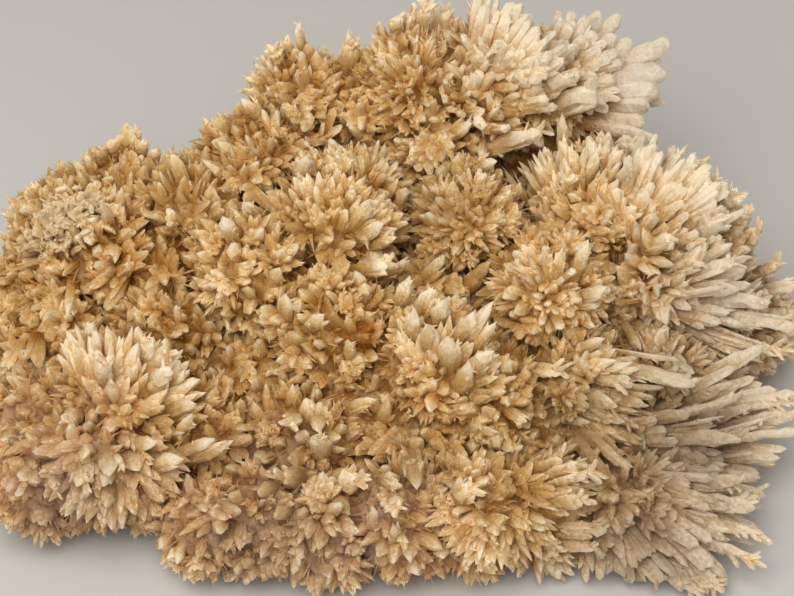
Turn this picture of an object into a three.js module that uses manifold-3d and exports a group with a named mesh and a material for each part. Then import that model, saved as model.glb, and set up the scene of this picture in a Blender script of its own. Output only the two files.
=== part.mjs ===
// Aragonite sputnik cluster: a cabinet-size mass of rosettes whose crystals radiate from many
// centres and have grown into one another, so the whole specimen is one solid.
//
// Millimetres, +Z up. The specimen rests on a small flat spot in the plane z = 0, and the origin
// is in that plane under the middle of the mass. Its show face looks up and forward, towards -Y.

import * as THREE from "three";
import { mergeVertices } from "three/addons/utils/BufferGeometryUtils.js";
import Module from "manifold-3d";

const wasm = await Module();
wasm.setup();

// The show face is laid out on a sheet of small squares, x to the right and y down, seen square
// on from VIEWING_DISTANCE. A place on the face is a sheet place and a height out of the sheet.
const SHEET_SQUARE = 0.26;
const SHEET_CENTRE = [397, 298];
const SHEET_HEIGHT = 32;
const VIEWING_DISTANCE = 600;
const FACE_TILT = THREE.MathUtils.degToRad(45);

// A rosette is a ball of flat faces with a crystal point on each. Its valleys lie at a share of
// its radius, its points reach past the radius and lean between the corners of their faces, and
// a point is left out where it would come this near to another rosette.
const ROSETTE_DETAIL = 1;
const VALLEY_RANGE = [0.88, 1.02];
const POINT_RANGE = [3.5, 8.5];
const LEAN_RANGE = [0.4, 1.6];
const POINT_CLEARANCE = 5.5;

// A four-sided crystal is drawn this much wider than the rounder crystal that it stands for, and
// no tip comes nearer to the resting plane than this.
const FACET_SWELL = 1.35;
const LOWEST_TIP = 2;

// The block below the resting plane that cuts the specimen off flat.
const GROUND_BLOCK = 400;

// Crystal forms: how flat the four-sided section is, and the rings from the root to the tip as
// [share of the length, share of the width]. Every form starts and ends in a point on its axis.
const CRYSTAL_SIDES = 4;
const FORMS = {
  leaf: { flatness: 0.62, rings: [[0.5, 1]] },
  spike: { flatness: 0.8, rings: [[0.45, 1]] },
  blade: { flatness: 0.5, rings: [[0.8, 1]] },
  knob: { flatness: 0.85, rings: [[0.78, 1]] },
  slab: { flatness: 0.45, rings: [[0.35, 0.9], [0.92, 0.8]] },
};

// The rosettes that face the viewer: [x, y, height of the centre out of the sheet, radius].
const FACE_ROSETTES = [
  [98, 250, -14, 20], [50, 296, -15, 15], [195, 215, -10, 15], [262, 165, -14, 15],
  [306, 98, -24, 12], [415, 95, -20, 16], [488, 84, -20, 17], [548, 88, -27, 13],
  [600, 215, -10, 18], [665, 256, -12, 21], [733, 325, -18, 14], [545, 290, 6, 15],
  [465, 222, 0, 14], [340, 220, 0, 17], [250, 272, 6, 15], [330, 330, 8, 18],
  [430, 370, 12, 17], [500, 398, 8, 16], [575, 392, 8, 16], [660, 390, 0, 15],
  [605, 445, 6, 17], [624, 506, 20, 13], [118, 408, 12, 18], [50, 425, 8, 16],
  [92, 470, 25, 13], [38, 484, 24, 11], [150, 472, 22, 12], [206, 438, 12, 15],
  [208, 515, 26, 12], [262, 508, 26, 13], [300, 448, 18, 15], [326, 520, 28, 13],
  [400, 512, 28, 14], [468, 508, 27, 14], [538, 505, 22, 12], [165, 345, 2, 15],
  [72, 346, -4, 14], [690, 440, 0, 13],
];

// The rosettes behind, which the face hides: [x, y, z, radius] in the specimen's own frame.
const BACK_ROSETTES = [
  [-76, 26, 20, 17], [-45, 46, 21, 19], [-26, 50, 36, 16], [0, 56, 26, 22],
  [42, 58, 30, 22], [74, 27, 20, 17],
];

// The low, wide body that they all grow from.
const BASE = { centre: [0, 0, 16], radii: [82, 46, 18], detail: 1 };

// The large single crystals: [x, y of the root, x, y of the tip, rise of the tip over the mass,
// width, form].
const LARGE_CRYSTALS = [
  // The upper left dome and the shoulder.
  [132, 165, 128, 122, 1, 4.6, "leaf"], [92, 180, 78, 152, 1, 4.6, "leaf"],
  [48, 205, 27, 178, 0, 5, "leaf"], [30, 230, 8, 214, 0, 5, "leaf"],
  [192, 200, 172, 152, 2, 4.6, "leaf"], [268, 205, 257, 168, 3, 5, "leaf"],
  [236, 250, 224, 217, 4, 5, "leaf"], [228, 145, 217, 117, 0, 4, "leaf"],
  // The upper middle dome.
  [328, 52, 332, 19, 0, 6, "knob"], [346, 62, 353, 24, 0, 2.8, "spike"],
  [346, 84, 351, 44, 2, 5.2, "knob"], [304, 58, 298, 22, 0, 4, "leaf"],
  [276, 100, 264, 64, 0, 4, "leaf"], [272, 104, 250, 73, 0, 3.6, "leaf"],
  [268, 128, 242, 98, 1, 4.2, "leaf"], [300, 190, 312, 155, 4, 6.2, "leaf"],
  // The centre mound.
  [338, 238, 374, 203, 5, 5.4, "leaf"], [350, 246, 384, 222, 6, 4.8, "leaf"],
  [345, 272, 390, 262, 6, 4.6, "knob"],
  // The plume at the top, which leans to the right.
  [448, 40, 446, 8, 0, 4.6, "knob"], [578, 42, 594, 8, 0, 4, "knob"],
  [592, 52, 626, 20, 0, 4.4, "knob"],
  [585, 62, 618, 38, 0, 5, "knob"], [592, 78, 672, 45, -2, 5.6, "knob"],
  [585, 84, 669, 72, -2, 7, "slab"], [588, 96, 668, 92, 0, 5.6, "slab"],
  [590, 106, 658, 112, 0, 4.6, "slab"], [600, 128, 661, 136, -2, 4.6, "knob"],
  [590, 78, 636, 42, -2, 5, "slab"], [492, 118, 532, 72, 3, 8, "slab"],
  [470, 92, 486, 52, 4, 6.4, "leaf"], [525, 106, 570, 74, 5, 5.6, "slab"],
  [528, 122, 594, 88, 6, 7, "slab"], [486, 152, 542, 130, 6, 5, "slab"],
  [424, 138, 436, 96, 4, 4.4, "leaf"], [440, 146, 472, 120, 4, 5, "leaf"],
  // The right dome.
  [562, 160, 563, 113, 3, 3.6, "leaf"], [582, 190, 600, 152, 3, 3.8, "leaf"],
  [664, 184, 674, 144, 1, 4.6, "leaf"], [712, 216, 734, 196, 0, 4.6, "knob"],
  [730, 240, 750, 209, 0, 4.6, "knob"], [734, 258, 761, 230, 0, 5, "knob"],
  [740, 284, 779, 262, 0, 5.6, "knob"], [752, 296, 800, 284, 0, 5, "knob"],
  [548, 292, 529, 256, 7, 2.8, "spike"],
  [554, 290, 561, 244, 6, 3, "spike"], [565, 296, 589, 240, 5, 4.2, "leaf"],
  [570, 300, 606, 290, 7, 4.4, "leaf"], [616, 262, 675, 236, 6, 6.4, "slab"],
  [640, 280, 704, 257, 7, 5.4, "slab"], [655, 290, 734, 262, 7, 5.6, "slab"],
  [640, 292, 740, 286, 6, 5.6, "slab"], [655, 300, 772, 300, 4, 6, "slab"],
  [665, 306, 800, 326, 3, 6, "slab"], [655, 312, 790, 352, 4, 5.4, "slab"],
  [650, 316, 762, 366, 5, 5, "blade"], [640, 318, 724, 382, 6, 4.6, "blade"],
  [632, 320, 690, 384, 6, 4.4, "blade"], [628, 318, 662, 366, 6, 4.2, "blade"],
  // Below the right dome.
  [578, 352, 697, 386, 7, 5.6, "slab"], [566, 368, 630, 386, 6, 4.6, "slab"],
  [530, 380, 618, 410, 6, 5.6, "slab"], [636, 386, 672, 438, 7, 2.4, "spike"],
  [632, 428, 736, 400, 4, 4.4, "blade"], [650, 418, 800, 396, 0, 6.4, "slab"],
  [660, 438, 800, 412, 0, 5.6, "slab"], [626, 440, 742, 436, 3, 5.6, "slab"],
  [650, 450, 800, 430, 0, 3.6, "leaf"], [620, 460, 682, 468, 5, 5, "slab"],
  [636, 470, 743, 484, 3, 5.2, "blade"], [660, 478, 766, 492, -4, 4.6, "leaf"],
  [640, 492, 756, 506, -2, 5.6, "blade"], [636, 505, 764, 536, 0, 5.4, "blade"],
  [634, 520, 758, 562, 0, 5, "slab"], [630, 530, 718, 586, 1, 5, "blade"],
  [622, 530, 702, 592, 2, 6, "slab"], [612, 530, 660, 584, 2, 6, "slab"],
  // The middle of the face.
  [458, 298, 492, 262, 5, 5.4, "leaf"], [412, 330, 432, 286, 4, 5.4, "leaf"],
  [438, 338, 442, 296, 4, 5.6, "leaf"], [408, 356, 416, 308, 6, 5.6, "leaf"],
  [456, 360, 490, 299, 4, 4.6, "leaf"], [448, 384, 448, 336, 8, 6.2, "leaf"],
  [454, 386, 492, 346, 6, 5.4, "leaf"], [446, 402, 479, 366, 9, 6.4, "leaf"],
  [448, 428, 498, 431, 6, 4.2, "leaf"], [410, 436, 417, 490, 7, 6, "leaf"],
  [328, 476, 358, 478, 6, 4.8, "leaf"],
  // The golden rosette of the front skirt and its long blades.
  [512, 482, 562, 455, 5, 4.2, "slab"], [516, 488, 580, 464, 5, 4, "slab"],
  [516, 494, 596, 472, 6, 4, "slab"], [520, 508, 584, 498, 5, 4.2, "slab"],
  [530, 528, 608, 528, 3, 4.8, "slab"],
  // The big lower left rosette.
  [92, 352, 91, 322, 4, 4, "leaf"], [144, 378, 152, 336, 5, 4.4, "leaf"],
  [150, 386, 168, 350, 5, 4.4, "knob"], [148, 404, 166, 368, 8, 5.2, "knob"],
  [172, 446, 194, 413, 5, 4.4, "leaf"], [176, 466, 236, 442, 6, 6.4, "leaf"],
  [122, 442, 158, 446, 8, 5, "leaf"],
  [200, 498, 244, 516, 4, 4.4, "leaf"],
];

// What scatters whole numbers into repeatable ones from 0 to 1, and how far apart the numbers of
// two rosettes and of two crystals start.
const SCATTER = { step: 127.1, start: 311.7, spread: 43758.5453 };
const ROSETTE_STRIDE = 613;
const CRYSTAL_STRIDE = 31;

const UP = new THREE.Vector3(0, 1, 0);

/** A repeatable number from 0 to 1 for each whole number. */
function chance(index) {
  const value = Math.sin(index * SCATTER.step + SCATTER.start) * SCATTER.spread;
  return value - Math.floor(value);
}

/** A repeatable number between two bounds. */
function between([low, high], index) {
  return low + (high - low) * chance(index);
}

/** A direction of the show face, as across, up and out, turned into the specimen's frame. */
function faceDirection(across, up, out) {
  const sine = Math.sin(FACE_TILT);
  const cosine = Math.cos(FACE_TILT);
  return new THREE.Vector3(across, up * sine - out * cosine, up * cosine + out * sine);
}

/** The point at a sheet place and a height out of the sheet, as its viewer sees it. */
function facePoint(x, y, out) {
  const nearness = (1 - out / VIEWING_DISTANCE) * SHEET_SQUARE;
  const across = (x - SHEET_CENTRE[0]) * nearness;
  const up = (SHEET_CENTRE[1] - y) * nearness;
  return faceDirection(across, up, out).add(new THREE.Vector3(0, 0, SHEET_HEIGHT));
}

/** How far the mass stands out of the sheet at a sheet place: it falls away beside a rosette. */
function massHeight(x, y) {
  const heights = FACE_ROSETTES.map(([centreX, centreY, out, radius]) => {
    const away = Math.hypot(x - centreX, y - centreY) * SHEET_SQUARE;
    return away < radius ? out + Math.sqrt(radius ** 2 - away ** 2) : out + radius - away;
  });
  return Math.max(...heights);
}

/** A geometry with its corner positions alone, and one corner where several met. */
function welded(geometry) {
  geometry.deleteAttribute("normal");
  geometry.deleteAttribute("uv");
  return mergeVertices(geometry);
}

/** A manifold solid from a welded geometry, without the flat triangles at its poles. */
function solidFrom(geometry) {
  const corners = [];
  for (let at = 0; at < geometry.index.count; at += 3) {
    const triangle = [0, 1, 2].map((step) => geometry.index.getX(at + step));
    if (new Set(triangle).size === 3) corners.push(...triangle);
  }
  return new wasm.Manifold(new wasm.Mesh({
    numProp: 3,
    vertProperties: geometry.attributes.position.array,
    triVerts: new Uint32Array(corners),
  }));
}

/** Whether a rosette's point stands clear of the other rosettes, large crystals and ground. */
function standsClear(point, own, rosettes, crystals) {
  const buried = rosettes.some((rosette) => rosette !== own
    && point.distanceTo(rosette.centre) < rosette.radius + POINT_CLEARANCE);
  const crowded = crystals.some(({ root, tip, width }) => {
    const nearest = new THREE.Line3(root, tip).closestPointToPoint(point, true, new THREE.Vector3());
    return nearest.distanceTo(point) < width;
  });
  return !buried && !crowded && point.z > LOWEST_TIP;
}

/**
 * One rosette: a low ball whose free faces each carry a three-sided crystal point, with its
 * valley corners and its points pushed about a little.
 */
function rosetteSolid(own, rosettes, crystals) {
  const ball = welded(new THREE.IcosahedronGeometry(own.radius, ROSETTE_DETAIL));
  const seed = rosettes.indexOf(own) * ROSETTE_STRIDE;
  const corners = Array.from({ length: ball.attributes.position.count }, (_, at) => (
    new THREE.Vector3().fromBufferAttribute(ball.attributes.position, at)
      .multiplyScalar(between(VALLEY_RANGE, seed + at)).add(own.centre)));
  const triangles = [];
  for (let at = 0; at < ball.index.count; at += 3) {
    const face = [0, 1, 2].map((step) => ball.index.getX(at + step));
    const point = new THREE.Vector3();
    for (const corner of face) {
      const share = between(LEAN_RANGE, seed + at + corner);
      point.addScaledVector(corners[corner].clone().sub(own.centre), share);
    }
    point.setLength(own.radius + between(POINT_RANGE, seed + at)).add(own.centre);
    if (standsClear(point, own, rosettes, crystals)) {
      const tip = corners.push(point) - 1;
      face.forEach((corner, step) => triangles.push(corner, face[(step + 1) % 3], tip));
    } else {
      triangles.push(...face);
    }
  }
  const rosette = new THREE.BufferGeometry().setFromPoints(corners);
  rosette.setIndex(triangles);
  return solidFrom(rosette);
}

/** The low, wide body that joins all the rosettes. */
function baseSolid() {
  const ball = welded(new THREE.IcosahedronGeometry(1, BASE.detail));
  ball.scale(...BASE.radii);
  ball.translate(...BASE.centre);
  return solidFrom(ball);
}

/** One crystal from its root to its tip. */
function crystalSolid({ root, tip, width, form, turn }) {
  const { flatness, rings } = FORMS[form];
  const along = new THREE.Vector3().subVectors(tip, root);
  const length = along.length();
  const profile = [new THREE.Vector2(0, 0)];
  for (const [share, spread] of rings) {
    profile.push(new THREE.Vector2((spread * width * FACET_SWELL) / 2, share * length));
  }
  profile.push(new THREE.Vector2(0, length));
  const crystal = welded(new THREE.LatheGeometry(profile, CRYSTAL_SIDES));
  crystal.scale(1, 1, flatness);
  crystal.rotateY(turn);
  crystal.applyQuaternion(new THREE.Quaternion().setFromUnitVectors(UP, along.normalize()));
  crystal.translate(root.x, root.y, root.z);
  return solidFrom(crystal);
}

/** The large crystals, whose roots sink into the mass by their width. */
function largeCrystals() {
  return LARGE_CRYSTALS.map(([rootX, rootY, tipX, tipY, rise, width, form], order) => {
    const rootHeight = massHeight(rootX, rootY);
    const tipHeight = Math.max(rootHeight, massHeight(tipX, tipY)) + rise;
    const root = facePoint(rootX, rootY, rootHeight - width);
    const tip = facePoint(tipX, tipY, tipHeight);
    tip.z = Math.max(tip.z, LOWEST_TIP);
    return { root, tip, width, form, turn: Math.PI * chance(order * CRYSTAL_STRIDE) };
  });
}

/** The base, the rosettes and the large crystals joined, and cut off flat where they rest. */
function clusterSolid() {
  let solid = baseSolid();
  const rosettes = [
    ...FACE_ROSETTES.map(([x, y, out, radius]) => ({ centre: facePoint(x, y, out), radius })),
    ...BACK_ROSETTES.map(([x, y, z, radius]) => ({ centre: new THREE.Vector3(x, y, z), radius })),
  ];
  const crystals = largeCrystals();
  for (const rosette of rosettes) solid = solid.add(rosetteSolid(rosette, rosettes, crystals));
  for (const crystal of crystals) solid = solid.add(crystalSolid(crystal));
  const below = new THREE.BoxGeometry(GROUND_BLOCK, GROUND_BLOCK, GROUND_BLOCK);
  below.translate(0, 0, -GROUND_BLOCK / 2);
  return solid.subtract(solidFrom(welded(below)));
}

/** A three.js geometry from the outer body of a solid, without any pocket sealed inside it. */
function geometryFrom(solid) {
  const bodies = solid.decompose();
  const outer = bodies.reduce((best, body) => (body.volume() > best.volume() ? body : best));
  const mesh = outer.getMesh();
  const geometry = new THREE.BufferGeometry();
  geometry.setAttribute("position", new THREE.BufferAttribute(mesh.vertProperties, mesh.numProp));
  geometry.setIndex(new THREE.BufferAttribute(mesh.triVerts, 1));
  geometry.computeVertexNormals();
  return geometry;
}

const honeyCrystal = new THREE.MeshStandardMaterial({ color: 0xc9a673, roughness: 0.5, metalness: 0 });
const cluster = new THREE.Mesh(geometryFrom(clusterSolid()), honeyCrystal);
cluster.name = "aragonite_cluster";

const specimen = new THREE.Group();
specimen.add(cluster);

export default specimen;
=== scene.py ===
"""Aragonite sputnik cluster: honey and cream crystals that radiate from grown-together rosettes.

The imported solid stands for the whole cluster. Here it is replaced by its crystals at full
detail, each a closed surface worked out with numpy. Lengths are millimetres until a mesh is made.
"""

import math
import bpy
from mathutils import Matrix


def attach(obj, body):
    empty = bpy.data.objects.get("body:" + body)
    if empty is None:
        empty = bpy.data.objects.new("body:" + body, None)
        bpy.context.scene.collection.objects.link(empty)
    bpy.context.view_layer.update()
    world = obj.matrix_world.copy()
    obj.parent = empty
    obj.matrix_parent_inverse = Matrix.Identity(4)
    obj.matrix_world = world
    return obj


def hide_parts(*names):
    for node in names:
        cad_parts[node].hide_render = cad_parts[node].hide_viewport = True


bl_info = {
    "name": "Aragonite sputnik cluster",
    "version": (1, 0, 0),
    "blender": (4, 5, 0),
    "location": "3D View > Sidebar > Aragonite",
    "description": "Dresses the packed cluster in rosettes of aragonite crystals",
    "category": "Add Mesh",
}

import bpy
import numpy as np
from mathutils import Vector

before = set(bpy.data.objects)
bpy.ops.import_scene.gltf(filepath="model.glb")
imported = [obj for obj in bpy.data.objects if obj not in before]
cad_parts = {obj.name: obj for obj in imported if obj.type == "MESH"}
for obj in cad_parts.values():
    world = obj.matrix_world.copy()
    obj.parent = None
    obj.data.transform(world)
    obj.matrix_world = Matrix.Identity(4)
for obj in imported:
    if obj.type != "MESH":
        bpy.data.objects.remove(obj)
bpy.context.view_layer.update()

NODE = "aragonite_cluster"
BODY = "root"
MM = 0.001

# The show face is laid out on a sheet of small squares, x to the right and y down, seen square
# on from VIEWING_DISTANCE. A place on the face is a sheet place and a height out of the sheet.
SHEET_SQUARE = 0.26
SHEET_CENTRE = (397.0, 298.0)
SHEET_MIDDLE = np.array((0.0, 0.0, 32.0))
VIEWING_DISTANCE = 600.0
FACE_TILT = math.radians(45)
ACROSS = np.array((1.0, 0.0, 0.0))
UPWARD = np.array((0.0, math.sin(FACE_TILT), math.cos(FACE_TILT)))
OUTWARD = np.array((0.0, -math.cos(FACE_TILT), math.sin(FACE_TILT)))

LOWEST_TIP = 1.5
GOLDEN_ANGLE = math.pi * (3 - math.sqrt(5))
TINY = 1e-6

# Crystal forms: width at the root as a share of the full width, where along the crystal it is
# widest, how bluntly it closes from there to the tip, the power that rounds the closing (one
# for a point, less for a round end), and thickness as a share of width.
FORMS = {
    "leaf": (0.86, 0.66, 1.70, 1.00, 0.82),
    "spike": (0.72, 0.45, 1.20, 1.00, 0.85),
    "blade": (0.80, 0.70, 1.80, 0.90, 0.55),
    "knob": (0.80, 0.70, 2.40, 0.65, 0.85),
    "slab": (0.82, 0.78, 2.40, 0.70, 0.50),
    "column": (0.92, 0.84, 2.60, 0.70, 0.75),
    "lobe": (0.72, 0.72, 2.20, 0.50, 0.80),
}
FORM_NAMES = list(FORMS)
FORM_TABLE = np.array([FORMS[name] for name in FORM_NAMES])
LEAF, SPIKE, BLADE, KNOB, SLAB, COLUMN, LOBE = range(len(FORM_NAMES))

# Where crystals stand: distances in mm.
HIDDEN_DEPTH = 0.5
LOWEST_STAR = 3.0
BASE_STAR_SPACING = 9.0
STAR_CLOSENESS = (0.75, 1.1)
SPRAY_CLEARANCE = 0.7
COVER_SPACING = 4.0
COVER_SPACING_BEHIND = 5.2
FINE_SPACING = 2.5
FINE_SPACING_BEHIND = 3.4

# Stars and sprays: how deep their common root lies as a share of their reach, and by what
# shares their sizes vary.
STAR_SUNK = 0.45
STAR_SIZES = (0.72, 1.2)
STAR_WIDTH_SHARES = (0.6, 1.25)
SPRAY_SUNK = 0.62
SPRAY_FULLNESS = 1.5
LEAN_SHARE = 0.5

# How ragged the edges of the smaller crystals are.
SPRAY_RAGGEDNESS = 0.05
FINE_RAGGEDNESS = 0.08
COVER_RAGGEDNESS = 0.09
VALLEY_RAGGEDNESS = 0.07

# The large crystals by form: how ragged their edges are, and their true width as a share of the
# width that their tables give.
EDGE_RAGGEDNESS = {"slab": 0.17, "knob": 0.12, "column": 0.15, "lobe": 0.09}
PLAIN_RAGGEDNESS = 0.08
TRUE_WIDTHS = {"blade": 0.76, "slab": 0.76}
PLAIN_TRUE_WIDTH = 0.82
RAGGED_ENDS = (COLUMN, SLAB, KNOB)

# How single crystals vary: the spread of their roll in radians, and of the other measures as
# shares of a crystal's own form, width or length.
ROLL_SPREAD = 0.45
WIDEST_SPREAD = 0.08
WIDEST_LIMITS = (0.2, 0.9)
BLUNT_RANGE = (0.8, 1.2)
FLAT_RANGE = (0.8, 1.25)
TIP_THINNING = 0.35
SKEW_SPREAD = 0.16
BEND_SPREAD = 0.03
SCALLOP_WAVES = (1.5, 5.0)
SCALLOP_DEPTH = 1.1
EDGE_SPREAD = 0.7
EDGE_LIMITS = (0.5, 1.6)
TONE_SPREAD = 0.35

# The one material of all pieces, and the seeds of the random draws.
MATERIAL = "honey_crystal"
MASS_SEED = 11
LARGE_SEED = 23
STAR_SEED = 41
FIRST_SEED = 100

# The regions of the cluster, each a piece, and the one with the glassy crust.
BACK_REGION = "back"
REGIONS = ("upper_left", "crown", "right_dome", "middle", "lower_left", "lower_right", "skirt",
           BACK_REGION)
DRUSE_REGION = "upper_left"
DRUSE_PATCHES = 3

# Grains: how many a crystal carries in each region, where along its length, how far they stand
# out and how wide they are.
GRAIN_SHARES = {"crown": 2.8, "right_dome": 1.2, BACK_REGION: 0.2}
PLAIN_GRAIN_SHARE = 0.9
FLANK = (0.5, 0.9)
GRAIN_REACHES = (0.6, 1.5)
GRAIN_WIDTHS = (0.8, 1.6)

# Rings and sides of each kind of crystal, columns and rows of the balls of the mother mass.
LARGE_GRID = (11, 8)
LARGE_BESIDE_GRID = (6, 5)
TUFT_GRID = (2, 4)
MIDDLING_GRID = (4, 5)
BESIDE_GRID = (3, 4)
FINE_GRID = (1, 4)
BASE_GRID = (90, 24)
BALL_GRID = (24, 13)
BASE_SHARE = 0.97
BALL_SHARE = 0.88
STUD_SHARES = (0.05, 0.17)

# Edges steeper than these angles in degrees are sharp.
MASS_SHARP_DEGREES = 25
CRYSTAL_SHARP_DEGREES = 34

# The gaps to the balls, in mm, at which a place counts as quite buried and as quite free: the
# painted shade of the clefts is full at the first and gone at the second.
OPENNESS_RANGE = (-5.0, 5.0)

# The patterns of the crystal: how many clouds there are to a metre, and facets and streaks to a
# millimetre of a crystal's own width, length and thickness. The relief of a facet is in metres
# for each millimetre along it.
CLOUDS_PER_METRE = 120.0
FACETS_PER_MM = 1.4
FACET_RELIEF = 0.0006
STREAKS_PER_MM = (1.6, 0.12, 1.6)

# The stage: half the floor's side in metres, the camera's sensor in mm, the light all round, and
# the soft lights: [name, place, size, power in watts, colour], in metres.
FLOOR_HALF = 4.0
SENSOR_WIDTH = 36.0
ROOM_COLOUR = (1.0, 0.95, 0.87)
ROOM_STRENGTH = 0.35
LIGHTS = (
    ("key_light", (-0.14, -0.34, 0.80), 0.7, 5.15, (1.0, 0.97, 0.92)),
    ("fill_light", (-0.4, -0.75, 0.65), 0.9, 1.6, (1.0, 0.98, 0.96)),
)

# Stars are the small bunches that cover the rosettes. A kind of star: number of crystals,
# reaches, widths, how far it opens in degrees, its forms and their shares, how ragged.
STAR_KINDS = {
    "leaf": (29, (6.2, 10.2), (2.1, 3.9), 58, {"leaf": 0.8, "knob": 0.2}, 0.09),
    "needle": (40, (6.0, 8.5), (1.6, 2.7), 64, {"leaf": 0.6, "knob": 0.4}, 0.08),
    "pebble": (25, (5.4, 8.2), (2.2, 3.9), 66, {"knob": 0.6, "leaf": 0.4}, 0.10),
    "blade": (26, (8.5, 13.0), (2.2, 4.0), 50, {"blade": 0.5, "leaf": 0.5}, 0.10),
    "slab": (23, (8.0, 12.0), (2.6, 4.8), 52, {"column": 0.5, "knob": 0.3, "slab": 0.2}, 0.2),
}

# The habit of a rosette: how far its stars stand apart in mm, and their kinds and shares.
HABITS = {
    "leafy": (9.6, {"leaf": 0.55, "needle": 0.2, "pebble": 0.25}),
    "needled": (8.0, {"needle": 0.75, "pebble": 0.25}),
    "frosted": (9.6, {"slab": 0.5, "pebble": 0.3, "leaf": 0.2}),
    "rounded": (9.4, {"pebble": 0.45, "leaf": 0.35, "blade": 0.2}),
    "fanned": (9.4, {"blade": 0.8, "leaf": 0.2}),
    "skirted": (9.2, {"leaf": 0.7, "blade": 0.2, "pebble": 0.1}),
    "behind": (12.5, {"leaf": 0.6, "pebble": 0.4}),
}

# Fans: long crystals that lie along the face and part from one place: [x, y of that place,
# first and last bearing in degrees down from the right, nearest and farthest tip in squares,
# number, share of the way that shows, width, form, region].
FANS = (
    (590, 305, -25, 8, 50, 175, 51, 0.55, 3.7, "slab", "right_dome"),
    (600, 288, 8, 78, 50, 175, 84, 0.55, 3.2, "slab", "right_dome"),
    (606, 272, -78, -25, 45, 165, 69, 0.45, 3.5, "column", "right_dome"),
    (580, 240, -125, -60, 40, 112, 51, 0.45, 2.7, "leaf", "right_dome"),
    (575, 442, -24, 6, 55, 225, 60, 0.50, 3.9, "slab", "lower_right"),
    (580, 456, 4, 46, 50, 205, 85, 0.50, 3.9, "slab", "lower_right"),
    (598, 486, 38, 105, 35, 130, 60, 0.55, 3.9, "slab", "lower_right"),
    (525, 384, -12, 50, 40, 150, 66, 0.55, 3.2, "blade", "lower_right"),
    (508, 488, -45, 20, 25, 95, 51, 0.60, 2.4, "blade", "skirt"),
    (496, 500, 20, 165, 28, 82, 75, 0.60, 2.9, "leaf", "skirt"),
    (462, 118, -80, -8, 35, 140, 90, 0.50, 3.7, "column", "crown"),
    (545, 82, -75, 30, 28, 88, 60, 0.55, 3.7, "column", "crown"),
    (112, 428, -120, -5, 35, 115, 90, 0.50, 3.5, "leaf", "lower_left"),
    (112, 440, 0, 175, 30, 95, 84, 0.50, 3.5, "leaf", "lower_left"),
    (430, 402, -120, -10, 30, 95, 66, 0.50, 3.4, "leaf", "middle"),
    (330, 250, -120, -15, 30, 90, 60, 0.45, 3.2, "leaf", "middle"),
)

# The rosettes of the show face: [x, y, height of the centre, radius, how far its crystals lean
# across and up, habit, region].
FACE_ROSETTES = (
    (98, 250, -14, 20, -0.1, 0.5, "leafy", "upper_left"),
    (122, 208, -22, 14, 0.0, 0.5, "leafy", "upper_left"),
    (50, 296, -15, 15, -0.5, 0.0, "leafy", "upper_left"),
    (66, 222, -20, 12, -0.3, 0.5, "leafy", "upper_left"),
    (166, 272, -6, 12, 0.0, 0.3, "leafy", "upper_left"),
    (195, 215, -10, 15, 0.0, 0.5, "leafy", "upper_left"),
    (262, 165, -14, 15, -0.1, 0.6, "leafy", "upper_left"),
    (306, 98, -24, 12, 0.0, 0.5, "leafy", "crown"),
    (415, 95, -20, 16, -0.1, 0.3, "needled", "crown"),
    (362, 120, -22, 13, 0.0, 0.3, "needled", "crown"),
    (432, 148, -17, 13, 0.0, 0.0, "needled", "crown"),
    (488, 84, -20, 17, 0.2, 0.6, "frosted", "crown"),
    (548, 88, -27, 13, 0.5, 0.5, "frosted", "crown"),
    (600, 215, -10, 18, 0.1, 0.6, "rounded", "right_dome"),
    (665, 256, -12, 21, 0.4, 0.5, "rounded", "right_dome"),
    (733, 325, -18, 14, 0.8, 0.0, "fanned", "right_dome"),
    (545, 290, 6, 15, 0.0, 0.1, "needled", "right_dome"),
    (465, 222, 0, 14, 0.0, 0.3, "needled", "right_dome"),
    (340, 220, 0, 17, 0.1, 0.4, "leafy", "middle"),
    (250, 272, 6, 15, 0.0, 0.3, "leafy", "middle"),
    (330, 330, 8, 18, 0.0, 0.3, "leafy", "middle"),
    (430, 370, 12, 17, 0.2, 0.4, "leafy", "middle"),
    (500, 398, 8, 16, 0.4, 0.1, "leafy", "middle"),
    (575, 392, 8, 16, 0.6, 0.0, "fanned", "lower_right"),
    (660, 390, 0, 15, 0.8, -0.1, "fanned", "lower_right"),
    (605, 445, 6, 17, 0.6, 0.0, "fanned", "lower_right"),
    (624, 506, 20, 13, 0.6, -0.4, "fanned", "lower_right"),
    (118, 408, 12, 18, 0.1, 0.3, "leafy", "lower_left"),
    (50, 425, 8, 16, -0.3, 0.2, "leafy", "lower_left"),
    (92, 470, 25, 13, 0.0, -0.5, "skirted", "lower_left"),
    (38, 484, 24, 11, -0.2, -0.5, "skirted", "lower_left"),
    (150, 472, 22, 12, 0.3, -0.3, "skirted", "lower_left"),
    (206, 438, 12, 15, 0.2, 0.1, "leafy", "lower_left"),
    (208, 523, 27, 12, 0.0, -0.6, "skirted", "skirt"),
    (262, 516, 27, 13, 0.0, -0.6, "skirted", "skirt"),
    (300, 448, 18, 15, 0.0, 0.1, "leafy", "middle"),
    (326, 528, 29, 13, 0.0, -0.6, "skirted", "skirt"),
    (400, 520, 29, 14, 0.0, -0.5, "skirted", "skirt"),
    (468, 516, 28, 14, 0.1, -0.5, "skirted", "skirt"),
    (538, 513, 23, 12, 0.6, -0.4, "fanned", "skirt"),
    (165, 345, 2, 15, 0.0, 0.2, "leafy", "lower_left"),
    (72, 346, -4, 14, 0.0, 0.1, "leafy", "upper_left"),
    (690, 440, 0, 13, 0.8, 0.0, "fanned", "lower_right"),
    (245, 362, -2, 12, 0.0, 0.2, "leafy", "lower_left"),
    (388, 442, 13, 11, 0.0, 0.1, "leafy", "middle"),
    (440, 446, 12, 11, 0.1, 0.0, "leafy", "middle"),
    (430, 286, -3, 11, 0.0, 0.3, "leafy", "middle"),
    (20, 356, -6, 11, -0.3, 0.1, "leafy", "upper_left"),
)

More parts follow.
